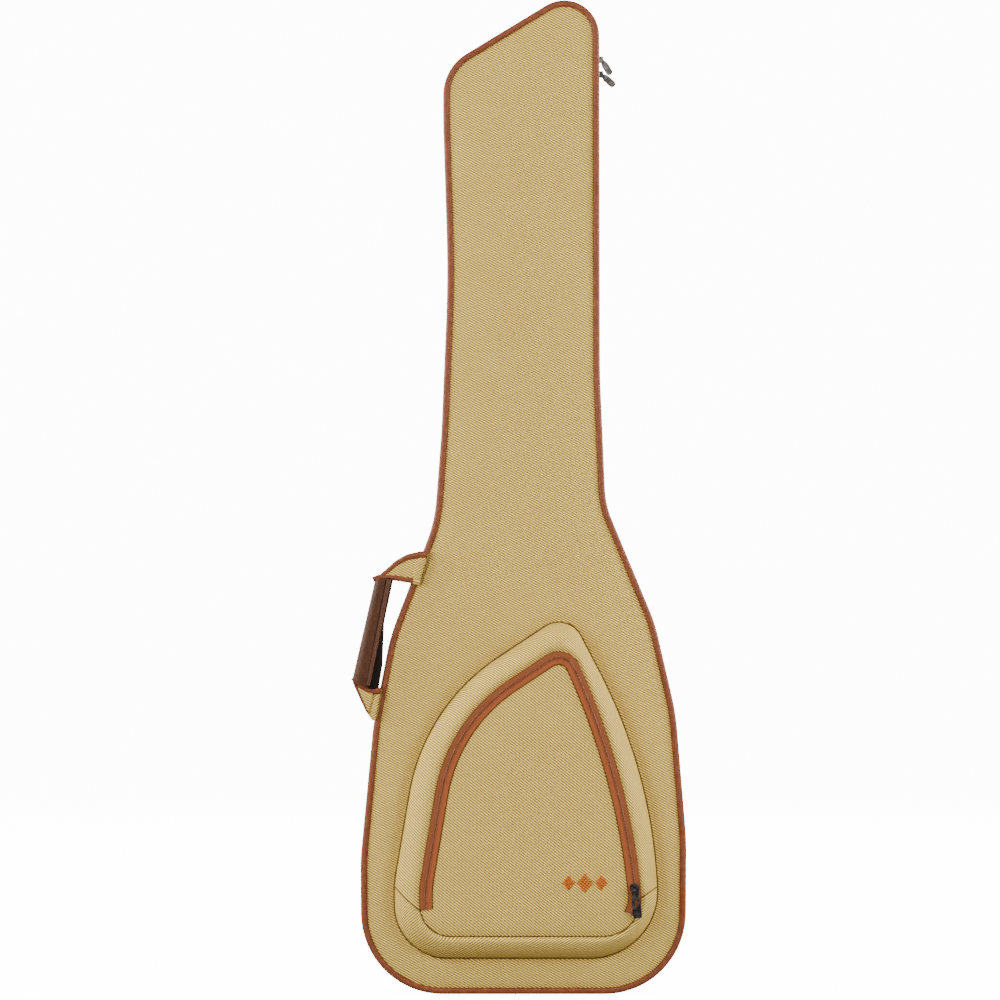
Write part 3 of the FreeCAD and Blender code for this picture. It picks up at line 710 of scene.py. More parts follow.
def loft(name, rings, material):
    """A closed skin through rings of equally many 3-D points."""
    wide = len(rings[0])
    lengths = [(ring[0][2], k * 0.002) for ring in rings for k in range(wide)]
    verts = [p for ring in rings for p in ring]
    return sharpen(new_piece(name, verts, skin(len(rings), wide), material, lengths), 60)


def rounded_patch(name, corners, y_face, thick, material, crown=0.0006, direction=-1):
    """A small flat piece whose face, towards direction, swells a little between its edges."""
    loop = outline(corners, step=0.003)
    swell = Crown(loop, 0.008, cell=0.0015)

    def face(x, z):
        return y_face + direction * crown * (swell(x, z) - beside(x, z, loop, 0.0012))

    near = constant(y_face - direction * thick)
    skins = (face, near) if direction < 0 else (near, face)
    return layer_mesh(name, loop, *skins, material, spacing=0.004, rings=(0.0009, 0.0022))


def ellipse(out, y, radius_out, radius_y, count, power):
    """Points round an ellipse; a power below 1 makes it squarer."""
    points = []
    for k in range(count):
        a = 2 * math.pi * k / count
        c, s = math.cos(a), math.sin(a)
        points.append((out + radius_out * math.copysign(abs(c) ** power, c),
                       y + radius_y * math.copysign(abs(s) ** power, s)))
    return points


# ---------------------------------------------------------------- shared shapes

EDGE = outline(BAG)
PANEL_EDGE = outline(BAG, WALL * 0.8)
LID_ARC = ((1, THROAT), (-1, SIDE_LOW))
SIDE_ARC = ((-1, SIDE_LOW), (-1, THROAT))
NECK_ARC = ((-1, THROAT), (1, THROAT))
fold_axis = (FOLD_TOP - FOLD_LOW).normalized()
fold_across = Vector((fold_axis.z, 0, -fold_axis.x))
FOLD_BEND = 0.013
fold_middle = (FOLD_TOP + FOLD_LOW) / 2
LID_BEND = (("root", "lid"), fold_middle - fold_across * FOLD_BEND, fold_middle + fold_across * FOLD_BEND)
NECK_BEND = (("lid", "neck_cover"), (0, FRONT, THROAT), (0, FRONT, THROAT + 0.030))
POCKET_BEND = (
    ("lid", "pocket_cover"),
    (0, -0.084, POCKET_FOLD - 0.010),
    (0, -0.084, POCKET_FOLD + 0.010),
)
bag_crown = Crown(PANEL_EDGE, 0.060)
FRONT_CROWN = 0.0115
REAR_CROWN = 0.0055
TUCK = 0.0022
TUCK_REACH = 0.0045


POCKET_SEAM = outline(POCKET)
SEAM_DIP = 0.0036
SEAM_REACH = 0.0066


def tuck(x, z):
    """How far cloth dips into the seam beside the piping."""
    return TUCK * beside(x, z, PANEL_EDGE, TUCK_REACH)


def seam_dip(x, z):
    """The pocket's outer seam pulls the front down along it."""
    return SEAM_DIP * beside(x, z, POCKET_SEAM, SEAM_REACH)


def front_face(x, z):
    return FRONT - FRONT_CROWN * bag_crown(x, z) + tuck(x, z) + seam_dip(x, z)


def rear_face(x, z):
    return REAR + REAR_CROWN * bag_crown(x, z) - tuck(x, z)


# ---------------------------------------------------------------- panels


def quilt(x, z):
    """Stitched diamond quilting: 0 in the sewn lines, 1 in the middle of a diamond."""
    pitch = 0.060
    a = np.abs(np.sin(math.pi * (np.asarray(x) + np.asarray(z)) / pitch))
    b = np.abs(np.sin(math.pi * (np.asarray(x) - np.asarray(z)) / pitch))
    return np.minimum(a, b) ** 0.6


def panel(prefix, loop, face, plane, nodes, body=None, bend=None):
    """The three layers of a panel, from the outside in: cloth, foam and quilted lining."""
    inward = -1 if plane > 0 else 1

    def layer(part, outer, inner, material, *replaced, fill=None, **mesh):
        skins = (outer, inner) if inward > 0 else (inner, outer)
        piece = layer_mesh(f"{prefix}_panel_{part}", loop, *skins, material, **mesh)
        settle(piece, body, *replaced, bend=bend, fill=fill)

    layer("cloth", face, lambda x, z: face(x, z) + inward * 0.0016, TWEED, *nodes)
    layer("foam", lambda x, z: face(x, z) + inward * 0.0018, constant(plane + inward * 0.0092), FOAM,
          f"{prefix}_padding", fill=0.5, spacing=0.012, rings=())
    layer("lining", constant(plane + inward * 0.0094),
          lambda x, z: plane + inward * (0.0104 + 0.0012 * quilt(x, z)), LINING, f"{prefix}_lining", fill=0.4)


def panels():
    below = resample(clip(PANEL_EDGE, (0, THROAT), (0, -1)), STEP)
    above = resample(clip(PANEL_EDGE, (0, THROAT), (0, 1)), STEP)
    panel("body", below, front_face, FRONT, ("body_panel", "side_strip"), bend=LID_BEND)
    panel("neck", above, front_face, FRONT, ("neck_panel",), bend=NECK_BEND)
    panel("rear", PANEL_EDGE, rear_face, REAR, ("rear_panel",), body="root")


# ---------------------------------------------------------------- edges: piping, walls, zips


def piping_section(sign):
    """A bound cord, a little squarer than round."""
    return ellipse(-0.00425, sign * (REAR - 0.0023), 0.00415, 0.0042, count=16, power=0.85)


def edges():
    inner, outer = -WALL + 0.0002, -0.0006
    for prefix, arc, body, bend, back in (
        ("body", LID_ARC, "lid", None, -0.033),
        ("neck", NECK_ARC, "neck_cover", NECK_BEND, -0.033),
        ("side", SIDE_ARC, "root", None, -0.0253),
    ):
        path = stretch_between(EDGE, *arc)
        cord = sweep(f"{prefix}_edge_piping", path, piping_section(-1), PIPING, closed=False)
        settle(sharpen(cord), body, f"{prefix}_piping", bend=bend)
        section = bulged_strip(inner, outer, -0.0434, back - 0.0002, 0.0008)
        wall = sweep(f"{prefix}_wall_strip", path, section, TWEED_STRIP, closed=False)
        settle(sharpen(wall), body, f"{prefix}_gusset", bend=bend)
        if prefix != "side":
            zipper(f"{prefix}_zip_half", path, -1, body, f"{prefix}_zip_tape", bend, closed=False)
    wall = sweep("rear_wall_strip", EDGE, bulged_strip(inner, outer, -0.0168, 0.0434, 0.0006), TWEED_STRIP)
    settle(sharpen(wall), "root", "rear_gusset_lower", "rear_gusset_upper")
    settle(sweep("rear_edge_piping", EDGE, piping_section(1), PIPING), "root", "rear_piping")
    zipper("rear_zip_half", EDGE, 1, "root", "rear_zip_tape", None, closed=True)


def zipper(name, path, side, body, node, bend, closed):
    """Half of the main zip: a folded tape, and a coil whose turns meet the other half's."""
    plane = -0.025
    pitch = 0.0028
    near, far = plane + side * 0.00005, plane + side * 0.008
    section = [(-WALL + 0.0002, far), (-0.0042, far), (-0.0046, near + side * 0.0024), (-0.0052, near),
               (-WALL + 0.0002, near)]
    band = sweep(name, path, section, ZIP_TAPE, closed=closed)
    settle(sharpen(band), body, node, bend=bend)
    start, end = plane - side * 0.0007, plane + side * 0.0030
    levels = ((start, 0.75), ((start + end) / 2, 1.0), (end, 0.8))
    coil = teeth(f"{name}_coil", path, closed, pitch, levels, (-0.0052, -0.0027), pitch * 0.27,
                 side * pitch / 4, COIL)
    settle(coil, body, bend=bend)


def teeth(name, path, closed, pitch, levels, outs, half, shift, material):
    """A zip's coil as a row of small blocks. Levels are (y, size); outs are a block's two sides."""
    low, high = outs
    line = resample(path, pitch, closed)
    verts, faces = [], []
    for p, n in zip(line, outward(line, closed)):
        along = np.array([n[1], -n[0]])
        faces += skin(3, 4, start=len(verts))
        for y, grow in levels:
            for out, step in ((low, -half), (low, half), (high, half), (high, -half)):
                c = p + n * (low + (out - low) * grow) + along * (step * grow + shift)
                verts.append((c[0], y, c[1]))
    return new_piece(name, verts, faces, material, smooth=False)


# ---------------------------------------------------------------- pocket

POCKET_FACE_Y = -0.084
BORDER_RISE = 0.026
# Where the border's two pieces are joined at each lower corner: (x, z) at its foot and at its inner edge.
JOIN_LEFT = ((-0.1505, 0.1345), (-0.1180, 0.1100))
JOIN_RIGHT = ((0.1660, 0.1330), (0.1470, 0.1210))


def ray_loop(loop, centre, angles):
    """Where rays from a centre meet a star-shaped outline."""
    rel = loop - centre
    turn = np.arctan2(rel[:, 1], rel[:, 0])
    order = np.argsort(turn)
    turn, reach = turn[order], np.linalg.norm(rel, axis=1)[order]
    turn = np.concatenate([turn[-1:] - 2 * math.pi, turn, turn[:1] + 2 * math.pi])
    reach = np.concatenate([reach[-1:], reach, reach[:1]])
    far = np.interp(angles, turn, reach)
    return centre + np.stack([np.cos(angles), np.sin(angles)], axis=1) * far[:, None]


def pocket_border():
    """The sewn-on padded frame round the pocket's face, in an upper and a lower piece."""
    centre = np.array([0.012, 0.225])
    foot_loop = outline(POCKET, step=0.001)
    top_loop = outline(POCKET_ZIP, -0.0080, step=0.001)
    turns = [math.atan2(z - centre[1], x - centre[0]) % (2 * math.pi) for x, z in (*JOIN_LEFT, *JOIN_RIGHT)]
    left, right = np.array(turns[:2]), np.array(turns[2:])
    rows = 22
    for name, first, last, material, nodes in (
        ("pocket_border_upper", left, right - 2 * math.pi, TWEED_BORDER, ("pocket_border",)),
        ("pocket_border_lower", right, left, TWEED_LOWER, ()),
    ):
        wide = int(abs(last[0] - first[0]) / math.radians(1.2)) + 1
        flat, deep = [], []
        for k in range(rows + 1):
            share = (k / rows) ** 1.25
            ends = first[0] + (first[1] - first[0]) * share, last[0] + (last[1] - last[0]) * share
            angles = (np.linspace(*ends, wide) + math.pi) % (2 * math.pi) - math.pi
            foot = ray_loop(foot_loop, centre, angles)
            line = foot + (ray_loop(top_loop, centre, angles) - foot) * share
            x, z = line.T
            climb = np.clip(distance(line, foot_loop) / BORDER_RISE, 0, 1)
            shape = 0.55 * np.sqrt(1 - (1 - climb) ** 2) + 0.45 * climb * (2 - climb)
            base = front_face(x, z) + 0.0010
            y = base + (POCKET_FACE_Y - 0.0022 - base) * shape + 0.0034 * beside(x, z, top_loop, 0.0032)
            flat.append(line)
            deep.append(y)
        flat, deep = np.array(flat), np.array(deep)
        # The weave is laid out flat from the inner edge, so it isn't stretched down the border's sides.
        step = np.sqrt(np.sum(np.diff(flat, axis=0) ** 2, axis=2) + np.diff(deep, axis=0) ** 2)
        spread = np.vstack([np.cumsum(step[::-1], axis=0)[::-1], np.zeros((1, wide))])
        away = (flat[0] - flat[-1]) / np.linalg.norm(flat[0] - flat[-1], axis=1, keepdims=True)
        uvs = (flat[-1] + away * spread[:, :, None]).reshape(-1, 2)
        back = np.maximum(np.minimum(deep + 0.006, -0.0502), deep + 0.0008)
        verts = [(x, y, z) for side in (deep, back) for (x, z), y in zip(flat.reshape(-1, 2), side.ravel())]
        block, last_row = (rows + 1) * wide, rows * wide
        rim = [(i + row, i + row + 1) for row in (0, last_row) for i in range(wide - 1)]
        rim += [(k * wide + end, (k + 1) * wide + end) for end in (0, wide - 1) for k in range(rows)]
        faces = [(a, b, b + block, a + block) for a, b in rim]
        for a in (k * wide + i for k in range(rows) for i in range(wide - 1)):
            b, c, d = a + 1, a + wide + 1, a + wide
            faces += [(a, b, c, d), (a + block, d + block, c + block, b + block)]
        obj = new_piece(name, verts, faces, material, np.vstack([uvs, uvs]))
        settle(sharpen(obj, 55), "lid", *nodes, fill=0.7)
        tip = [(lines[-1][0], y[-1] - 0.0004, lines[-1][1]) for lines, y in zip(flat, deep)]
        seam(name + "_join", tip, 0.0006, "lid")
    ring = outline(POCKET, -0.0006)
    line = [(x, y - 0.0002, z) for (x, z), y in zip(ring, front_face(ring[:, 0], ring[:, 1]))]
    # The dark cord round the pocket is painted shade in its outer seam.
    seam("pocket_outer_seam", line, 0.0012, "lid", closed=True)


def zip_arc():
    """The pocket zip's closing line, open below the fold."""
    return stretch_between(outline(POCKET_ZIP), (-1, ZIP_END_LEFT), (1, ZIP_END_RIGHT), 0.004)


def pocket_face():
    """The face inside the zip, one cloth with the sewn-down strip below its fold."""
    arc = zip_arc()
    upper = arc - outward(arc, closed=False) * 0.0070
    tilt = (ZIP_END_RIGHT - ZIP_END_LEFT) / 0.26
    lower = clip(outline(POCKET_ZIP, -0.0070), (0, (ZIP_END_LEFT + ZIP_END_RIGHT) / 2 - 0.001), (tilt, -1))
    start = max(range(len(lower)), key=lambda i: math.dist(lower[i], lower[i - 1]))
    lower = np.vstack([lower[start:], lower[:start]])
    loop = resample(np.vstack([upper, lower]), 0.004)
    face_crown = Crown(loop, 0.045)

    def face(x, z):
        return POCKET_FACE_Y + 0.0008 - 0.0052 * face_crown(x, z) + 0.0020 * beside(x, z, loop, 0.004)

    cloth = layer_mesh("pocket_face_cloth", loop, face, lambda x, z: face(x, z) + 0.0055, TWEED_POCKET)
    settle(cloth, None, "pocket_lower_face", "pocket_flap", bend=POCKET_BEND, fill=0.6)
    hem = resample(lower[lower[:, 1] < ZIP_END_RIGHT], 0.004, closed=False)
    seam("pocket_face_seam", [(x, float(face([x], [z])[0]) - 0.0004, z) for x, z in hem], 0.0007, "lid")
    return face


def pocket_zip(face):
    """Tape and coil either side of the pocket's closing line."""
    arc = zip_arc()
    top = POCKET_FACE_Y + 0.0004
    section = [(0.0003, top + 0.0020), (0.0003, top - 0.0002), (0.0020, top - 0.0006),
               (0.0074, top - 0.0002), (0.0076, top + 0.0020)]
    facing = [(-out, y) for out, y in section][::-1]
    inner = sweep("pocket_zip_inner_tape", arc, facing, POCKET_TAPE, closed=False)
    settle(sharpen(inner), "pocket_cover", "pocket_inner_tape")
    # The outer tape uses the darker copy: painted shade.
    outer = sweep("pocket_zip_outer_tape", arc, section, POCKET_TAPE_PAINTED_SHADE, closed=False)
    settle(sharpen(outer), "lid", "pocket_outer_tape")
    edge = resample(arc - outward(arc, closed=False) * 0.0080, 0.004, closed=False)
    groove = [(x, y - 0.0001, z) for (x, z), y in zip(edge, face(edge[:, 0], edge[:, 1]))]
    # The dark cord here is painted shade in the groove.
    seam("pocket_zip_groove", groove, 0.0010, "pocket_cover", material=GROOVE_PAINTED_SHADE)
    levels = ((top, 1.0), (top - 0.0012, 0.9), (top - 0.0016, 0.5))
    for side, word, body in ((-1, "inner", "pocket_cover"), (1, "outer", "lid")):
        coil = teeth(f"pocket_coil_{word}", arc, False, 0.0024, levels, (side * 0.0002, side * 0.0019),
                     0.00085, side * 0.0006, POCKET_COIL)
        settle(coil, body)


# ---------------------------------------------------------------- handle


def binding_strip(name, line, wide, body, material=PIPING, y=-0.0570, thick=0.0046):
    """A folded leatherette edge along a line (x, z); wide is its width at each end."""
    line = resample(line, 0.003, closed=False)
    rings = []
    for p, n, half in zip(line, outward(line, closed=False), np.linspace(*wide, len(line)) / 2):
        section = ellipse(0, y + thick / 2, half, thick / 2, count=12, power=0.75)
        rings.append([(p[0] + n[0] * out, deep, p[1] + n[1] * out) for out, deep in section])
    settle(loft(name, rings, material), body)


def handle_cloth(name, body, nodes, corners, face=-0.0562, thick=0.0036, material=TWEED_LOWER,
                 crown=0.0006, fill=0.3):
    """A flat padded piece of the handle."""
    settle(rounded_patch(name, corners, face, thick, material, crown), body, *nodes, fill=fill)


def handle():
    tab_face = -0.0565
    handle_cloth("handle_band_upper_cloth", "handle", ("handle_band_upper",), [
        (-0.1255, 0.5350, 0.002), (-0.1400, 0.5325, 0.012), (-0.1530, 0.5260, 0.012),
        (-0.1690, 0.5125, 0.003), (-0.1560, 0.5100, 0.008), (-0.1310, 0.5060, 0.002)], material=TWEED)
    binding_strip("handle_upper_top_binding", [(-0.1255, 0.5385), (-0.139, 0.5358), (-0.152, 0.5290),
                  (-0.163, 0.5195), (-0.1735, 0.5110)], (0.0085, 0.0050), "handle")
    binding_strip("handle_upper_low_binding", [(-0.1815, 0.5085), (-0.174, 0.5118), (-0.157, 0.5108),
                  (-0.1325, 0.5074)], (0.0060, 0.0078), "handle")
    handle_cloth("handle_tab_upper_cloth", "root", ("handle_tab_upper",), [
        (-0.1275, 0.5360, 0.0012), (-0.1150, 0.5360, 0.0012), (-0.1235, 0.5070, 0.0012),
        (-0.1340, 0.5085, 0.0012)], tab_face)
    binding_strip("handle_tab_top_binding", [(-0.1262, 0.5386), (-0.1130, 0.5392)], (0.0088, 0.0094), "root")
    binding_strip("handle_tab_low_binding", [(-0.1318, 0.5066), (-0.1240, 0.5052)], (0.0080, 0.0076), "root",
                  material=TWEED_LOWER)
    fold = [(-0.1128, -0.0570, 0.5405), (-0.1165, -0.0574, 0.5220), (-0.1222, -0.0572, 0.5040)]
    # The dark cord along the tab's fold is painted shade.
    seam("handle_tab_upper_fold", resample(fold, 0.002, False), 0.0011, "root")

    handle_cloth("handle_band_lower_cloth", "handle", ("handle_band_lower",), [
        (-0.2045, 0.3830, 0.002), (-0.1808, 0.3712, 0.002), (-0.1858, 0.3470, 0.0015),
        (-0.1885, 0.3470, 0.0015), (-0.1975, 0.3655, 0.010)], material=TWEED)
    binding_strip("handle_lower_top_binding", [(-0.2055, 0.3885), (-0.1980, 0.3805), (-0.1890, 0.3742),
                  (-0.1785, 0.3722)], (0.0070, 0.0098), "handle")
    binding_strip("handle_lower_side_binding", [(-0.1880, 0.3455), (-0.1965, 0.3640), (-0.2050, 0.3840)],
                  (0.0026, 0.0040), "handle", material=PATCH)
    handle_cloth("handle_tab_lower_cloth", "root", ("handle_tab_lower",), [
        (-0.1775, 0.3685, 0.001), (-0.1722, 0.3685, 0.001), (-0.1778, 0.3370, 0.001),
        (-0.1822, 0.3370, 0.001), (-0.1842, 0.3470, 0.001)], tab_face)
    handle_cloth("handle_tab_lower_flap", "root", (), [
        (-0.1900, 0.3735, 0.001), (-0.1735, 0.3720, 0.001), (-0.1790, 0.3360, 0.001),
        (-0.1822, 0.3355, 0.001), (-0.1890, 0.3450, 0.001)], -0.0534, 0.0010, crown=0.0002, fill=0.1)
    binding_strip("handle_tab_lower_binding", [(-0.1785, 0.3715), (-0.1708, 0.3725)], (0.0092, 0.0080), "root")
    fold = [(-0.1706, -0.0570, 0.3745), (-0.1725, -0.0574, 0.3560), (-0.1770, -0.0570, 0.3375)]
    seam("handle_tab_lower_fold", resample(fold, 0.002, False), 0.0010, "root")
    grip()


def grip():
    """The wrapped grip: a stuffed leatherette roll on the outside, its bound edge in a darker copy of the
    binding as painted shade, and its open inner side, dark lining painted near black as shade.
    """
    top, low = 0.5095, 0.3880
    middle_y, deep = -0.0544, 0.0106
    face = middle_y - deep

    def left(z):
        return -0.1798 + (z - 0.504) * 0.2287

    def split(z):
        return -0.1660 + (z - 0.504) * 0.1967

    def right(z):
        return float(np.interp(z, (0.376, 0.412, 0.4565, 0.5057), (-0.1768, -0.1696, -0.1675, -0.1566)))

    def rings(first, last, y_mid, y_half, power):
        made = []
        for t in np.linspace(0, 1, 26):
            z = top + (low - top) * t
            closing = 1 - 0.10 * abs(2 * t - 1) ** 6
            tilt = 0.07 - 0.52 * t ** 2
            middle, half = (first(z) + last(z)) / 2, abs(last(z) - first(z)) / 2
            ring = []
            for x, y in ellipse(middle, y_mid, half, y_half * closing, count=24, power=power):
                share = min(1.0, max(0.0, (x - left(z)) / 0.031))
                sag = 0.0046 * t ** 4 * math.sin(math.pi * share)
                ring.append((x, y, z + tilt * (x - left(z)) - sag))
            made.append(ring)
        return made

    roll = loft("handle_grip_roll", rings(left, lambda z: split(z) + 0.0020, middle_y, deep, 0.9), GRIP)
    settle(roll, "handle", "handle_grip", "grip_core", fill=0.8)
    # The open inner side is coloured near black: painted shade inside the wrap.
    inner = rings(lambda z: split(z) - 0.0080, right, middle_y + 0.0028, deep * 0.62, 0.7)
    settle(loft("handle_grip_inner_side", inner, GRIP_INNER_PAINTED_SHADE), "handle")
    line = [(split(z) + 0.0032, z) for z in np.linspace(low - 0.009, top, 20)]
    # The binding takes the darker copy of the leatherette: painted shade.
    binding_strip("handle_grip_binding", line, (0.0052, 0.0058), "handle", GRIP_EDGE_PAINTED_SHADE, face + 0.0024, 0.0036)
    line = [(split(z) + 0.0032, face + 0.0023, z) for z in np.linspace(low, top, 24)]
    settle(stitches("handle_grip_stitches", line, (0, -1, 0), THREAD_BROWN, 0.0034, 0.0022, 0.0004), "handle")


# ---------------------------------------------------------------- back


def mirrored(corners, side):
    moved = [(side * c[0],) + tuple(c[1:]) for c in corners]
    return moved if side > 0 else moved[::-1]


SHOULDER_PAD = [
    (0.112, 0.268, 0.012), (0.078, 0.268, 0.012), (0.066, 0.420, 0.300), (0.016, 0.632, 0.008),
    (0.066, 0.640, 0.008), (0.126, 0.440, 0.260),
]
LOWER_PATCH = [(0.128, 0.096, 0.006), (0.122, 0.140, 0.006), (0.160, 0.150, 0.006), (0.172, 0.112, 0.006)]


def sewn_patch(name, node, corners, y_face, thick, inset, crown=0.0006):
    """A leatherette patch on the back with a row of stitches inside its edge."""
    settle(rounded_patch(name, corners, y_face, thick, PATCH, crown, direction=1), "root", node)
    row = [(x, y_face + 0.0004, z) for x, z in looped(outline(corners, inset, step=0.002))]
    settle(stitches(f"{name}_stitches", row, (0, 1, 0), THREAD_PALE, pitch=0.0036), "root")


def shoulder_strap(side, word):
    """One strap: a channelled pad with webbing down its middle, to a lower patch."""
    body = f"strap_{word}"
    corners = mirrored(SHOULDER_PAD, side)
    loop = outline(corners, -0.0010, step=0.004)
    swell = Crown(loop, 0.016, cell=0.003)
    near = 0.0532
    pad = layer_mesh(
        f"shoulder_pad_{word}_cloth", loop, constant(near), lambda x, z: near + 0.0050 + 0.0026 * swell(x, z),
        PAD_MESH, spacing=0.004, rings=(0.0016, 0.0036))
    inflate(pad, near, 1, voxel=0.004)
    points = corners_of(pad.data)
    pad_low, pitch = 0.268, 0.062
    channel = np.abs(((points[:, 2] - pad_low) / pitch) % 1 - 0.5) * pitch
    points[:, 1] -= 0.0024 * np.exp(-((channel / 0.0034) ** 2)) * np.clip((points[:, 1] - near) / 0.004, 0, 1)
    pad.data.vertices.foreach_set("co", points.ravel())
    settle(pad, body, f"shoulder_pad_{word}", fill=0.7)
    edge = [(x, near + 0.0014, z) for x, z in outline(corners, 0.0018, step=0.004)]
    settle(tube(f"shoulder_pad_{word}_binding", edge, 0.0019, PATCH, closed=True, sides=10), body)

    # Webbing sewn down the middle of the pad.
    spine = smooth_line([(side * 0.0440, 0.634), (side * 0.0660, 0.545), (side * 0.0860, 0.450),
                         (side * 0.0935, 0.360), (side * 0.0950, 0.270)], 40)
    skin_y = [height_at(pad, x, z) for x, z in spine]
    heights = np.convolve(np.pad(skin_y, 2, mode="edge"), np.full(5, 0.2), mode="valid")
    raised = [(x, y + 0.0004, z) for (x, z), y in zip(spine, heights)]
    settle(ribbon(f"strap_{word}_spine", raised, 0.0125, 0.0014), body)
    for offset, tag in ((-0.0050, "inner"), (0.0050, "outer")):
        row = [(x + offset, y + 0.0015, z) for x, y, z in raised]
        settle(stitches(f"strap_{word}_stitches_{tag}", row, (0, 1, 0), THREAD_BROWN, thick=0.0004), body)

    # Its upper end bends with the pad; its lower end runs from the ladder lock to the lower patch.
    over = [(side * 0.0405, 0.0540, 0.662), (side * 0.0415, 0.0545, 0.650), (side * 0.0428, 0.0562, 0.642)]
    over += [(x, y + lift, z) for (x, y, z), lift in zip(raised, (0.0006, 0.0008, 0.0004))]
    join = ribbon(f"strap_{word}_top_webbing", resample(over, 0.003, closed=False), 0.0140, 0.0012)
    settle(join, None, bend=(("root", body), (side * 0.0415, 0.055, 0.652), (side * 0.0440, 0.055, 0.632)))
    hanging = smooth_line([(side * 0.0950, 0.272), (side * 0.0990, 0.250), (side * 0.1180, 0.200),
                           (side * 0.1460, 0.138)], 30)
    lock_y, patch_y = 0.0546, 0.0534
    places = [(x, lock_y + (patch_y - lock_y) * np.clip((0.250 - z) / 0.070, 0, 1), z) for x, z in hanging]
    settle(ribbon(f"strap_{word}_webbing", places, 0.0115, 0.0013), None, f"strap_webbing_{word}",
           bend=(("root", body), (side * 0.146, 0.053, 0.138), (side * 0.1000, 0.053, 0.246)))
    corners = mirrored(LOWER_PATCH, side)
    sewn_patch(f"strap_anchor_{word}", f"strap_patch_{word}", corners, 0.0525, 0.0026, 0.0035)


def smooth_line(points, count):
    """A smooth curve through a few points, by Catmull-Rom."""
    p = [np.array(q, float) for q in points]
    p = [2 * p[0] - p[1]] + p + [2 * p[-1] - p[-2]]
    out = []
    for t in np.linspace(0, len(p) - 3 - 1e-9, count):
        u = t - int(t)
        a, b, c, d = p[int(t):int(t) + 4]
        out.append(0.5 * (2 * b + (c - a) * u + (2 * a - 5 * b + 4 * c - d) * u ** 2
                          + (3 * b - a - 3 * c + d) * u ** 3))
    return np.array(out)


def ribbon(name, points, half_wide, half_thick, start=0.0):
    """Flat webbing through 3-D points, its face towards +Y or -Y, with rolled edges."""
    points = [Vector(p) for p in points]
    section = ((-1, -0.5), (-0.96, -1), (0.96, -1), (1, -0.5), (1, 0.5), (0.96, 1), (-0.96, 1), (-1, 0.5))
    verts, lengths, length = [], [], start
    for i, p in enumerate(points):
        along = (points[min(i + 1, len(points) - 1)] - points[max(i - 1, 0)]).normalized()
        across = along.cross(Vector((0, 1, 0))).normalized()
        up = across.cross(along).normalized()
        length += (p - points[i - 1]).length if i else 0
        for a, b in section:
            verts.append(p + across * (a * half_wide) + up * (b * half_thick))
            lengths.append((length, a * half_wide))
    return sharpen(new_piece(name, verts, skin(len(points), len(section)), WEBBING, lengths), 50)


def dress(node_name, material):
    """Gives a carried-over CAD node its material."""
    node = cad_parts[node_name]
    node.data.materials.clear()
    node.data.materials.append(material)


def back_pieces():
    top = [(-0.074, 0.646, 0.008), (-0.060, 0.690, 0.008), (0.060, 0.690, 0.008), (0.074, 0.646, 0.008)]
    sewn_patch("strap_top_patch", "strap_patch_upper", top, 0.0560, 0.0045, 0.004, crown=0.0008)
    for side, word in ((-1, "left"), (1, "right")):
        shoulder_strap(side, word)
        dress(f"ladder_lock_{word}", BUCKLE)
    lo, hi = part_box("hang_loop")
    y = (lo.y + hi.y) / 2
    half = (hi.x - lo.x) / 2 - 0.0078
    drop = half * 0.72
    centre_z = lo.z + 0.0078 + drop
    bow = [(-half * math.cos(a), y, centre_z - drop * math.sin(a))
           for a in np.linspace(0.12, math.pi - 0.12, 22)]
    line = [(-half, y, hi.z), (-half, y, centre_z), *bow, (half, y, centre_z), (half, y, hi.z)]
    webbing = ribbon("hang_loop_webbing", resample(line, 0.003, closed=False), 0.0072, 0.0013)
    settle(webbing, "hang_loop", "hang_loop")
    lo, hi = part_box("hang_loop_patch")
    corners = [(lo.x, lo.z, 0.003), (lo.x, hi.z, 0.006), (hi.x, hi.z, 0.006), (hi.x, lo.z, 0.003)]
    sewn_patch("hang_loop_cover", "hang_loop_patch", corners, hi.y + 0.0022, 0.0062, 0.003)


# ---------------------------------------------------------------- inside


def cushion(name, corners, node):
    """A firm inner pad: flat on the lining, rounded on the side that the instrument rests on."""
    lo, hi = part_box(node)
    loop = outline(corners, step=0.005)
    crown = Crown(loop, 0.018, cell=0.003)

    def face(x, z):
        return lo.y + 0.004 * beside(x, z, loop, 0.004) + 0.0035 * (1 - crown(x, z)) * 0.6

    piece = layer_mesh(name, loop, face, constant(hi.y), LINING, spacing=0.006, rings=(0.0015, 0.004, 0.008))
    inflate(piece, hi.y, -1, voxel=0.005)
    settle(piece, "root", node, fill=0.8)


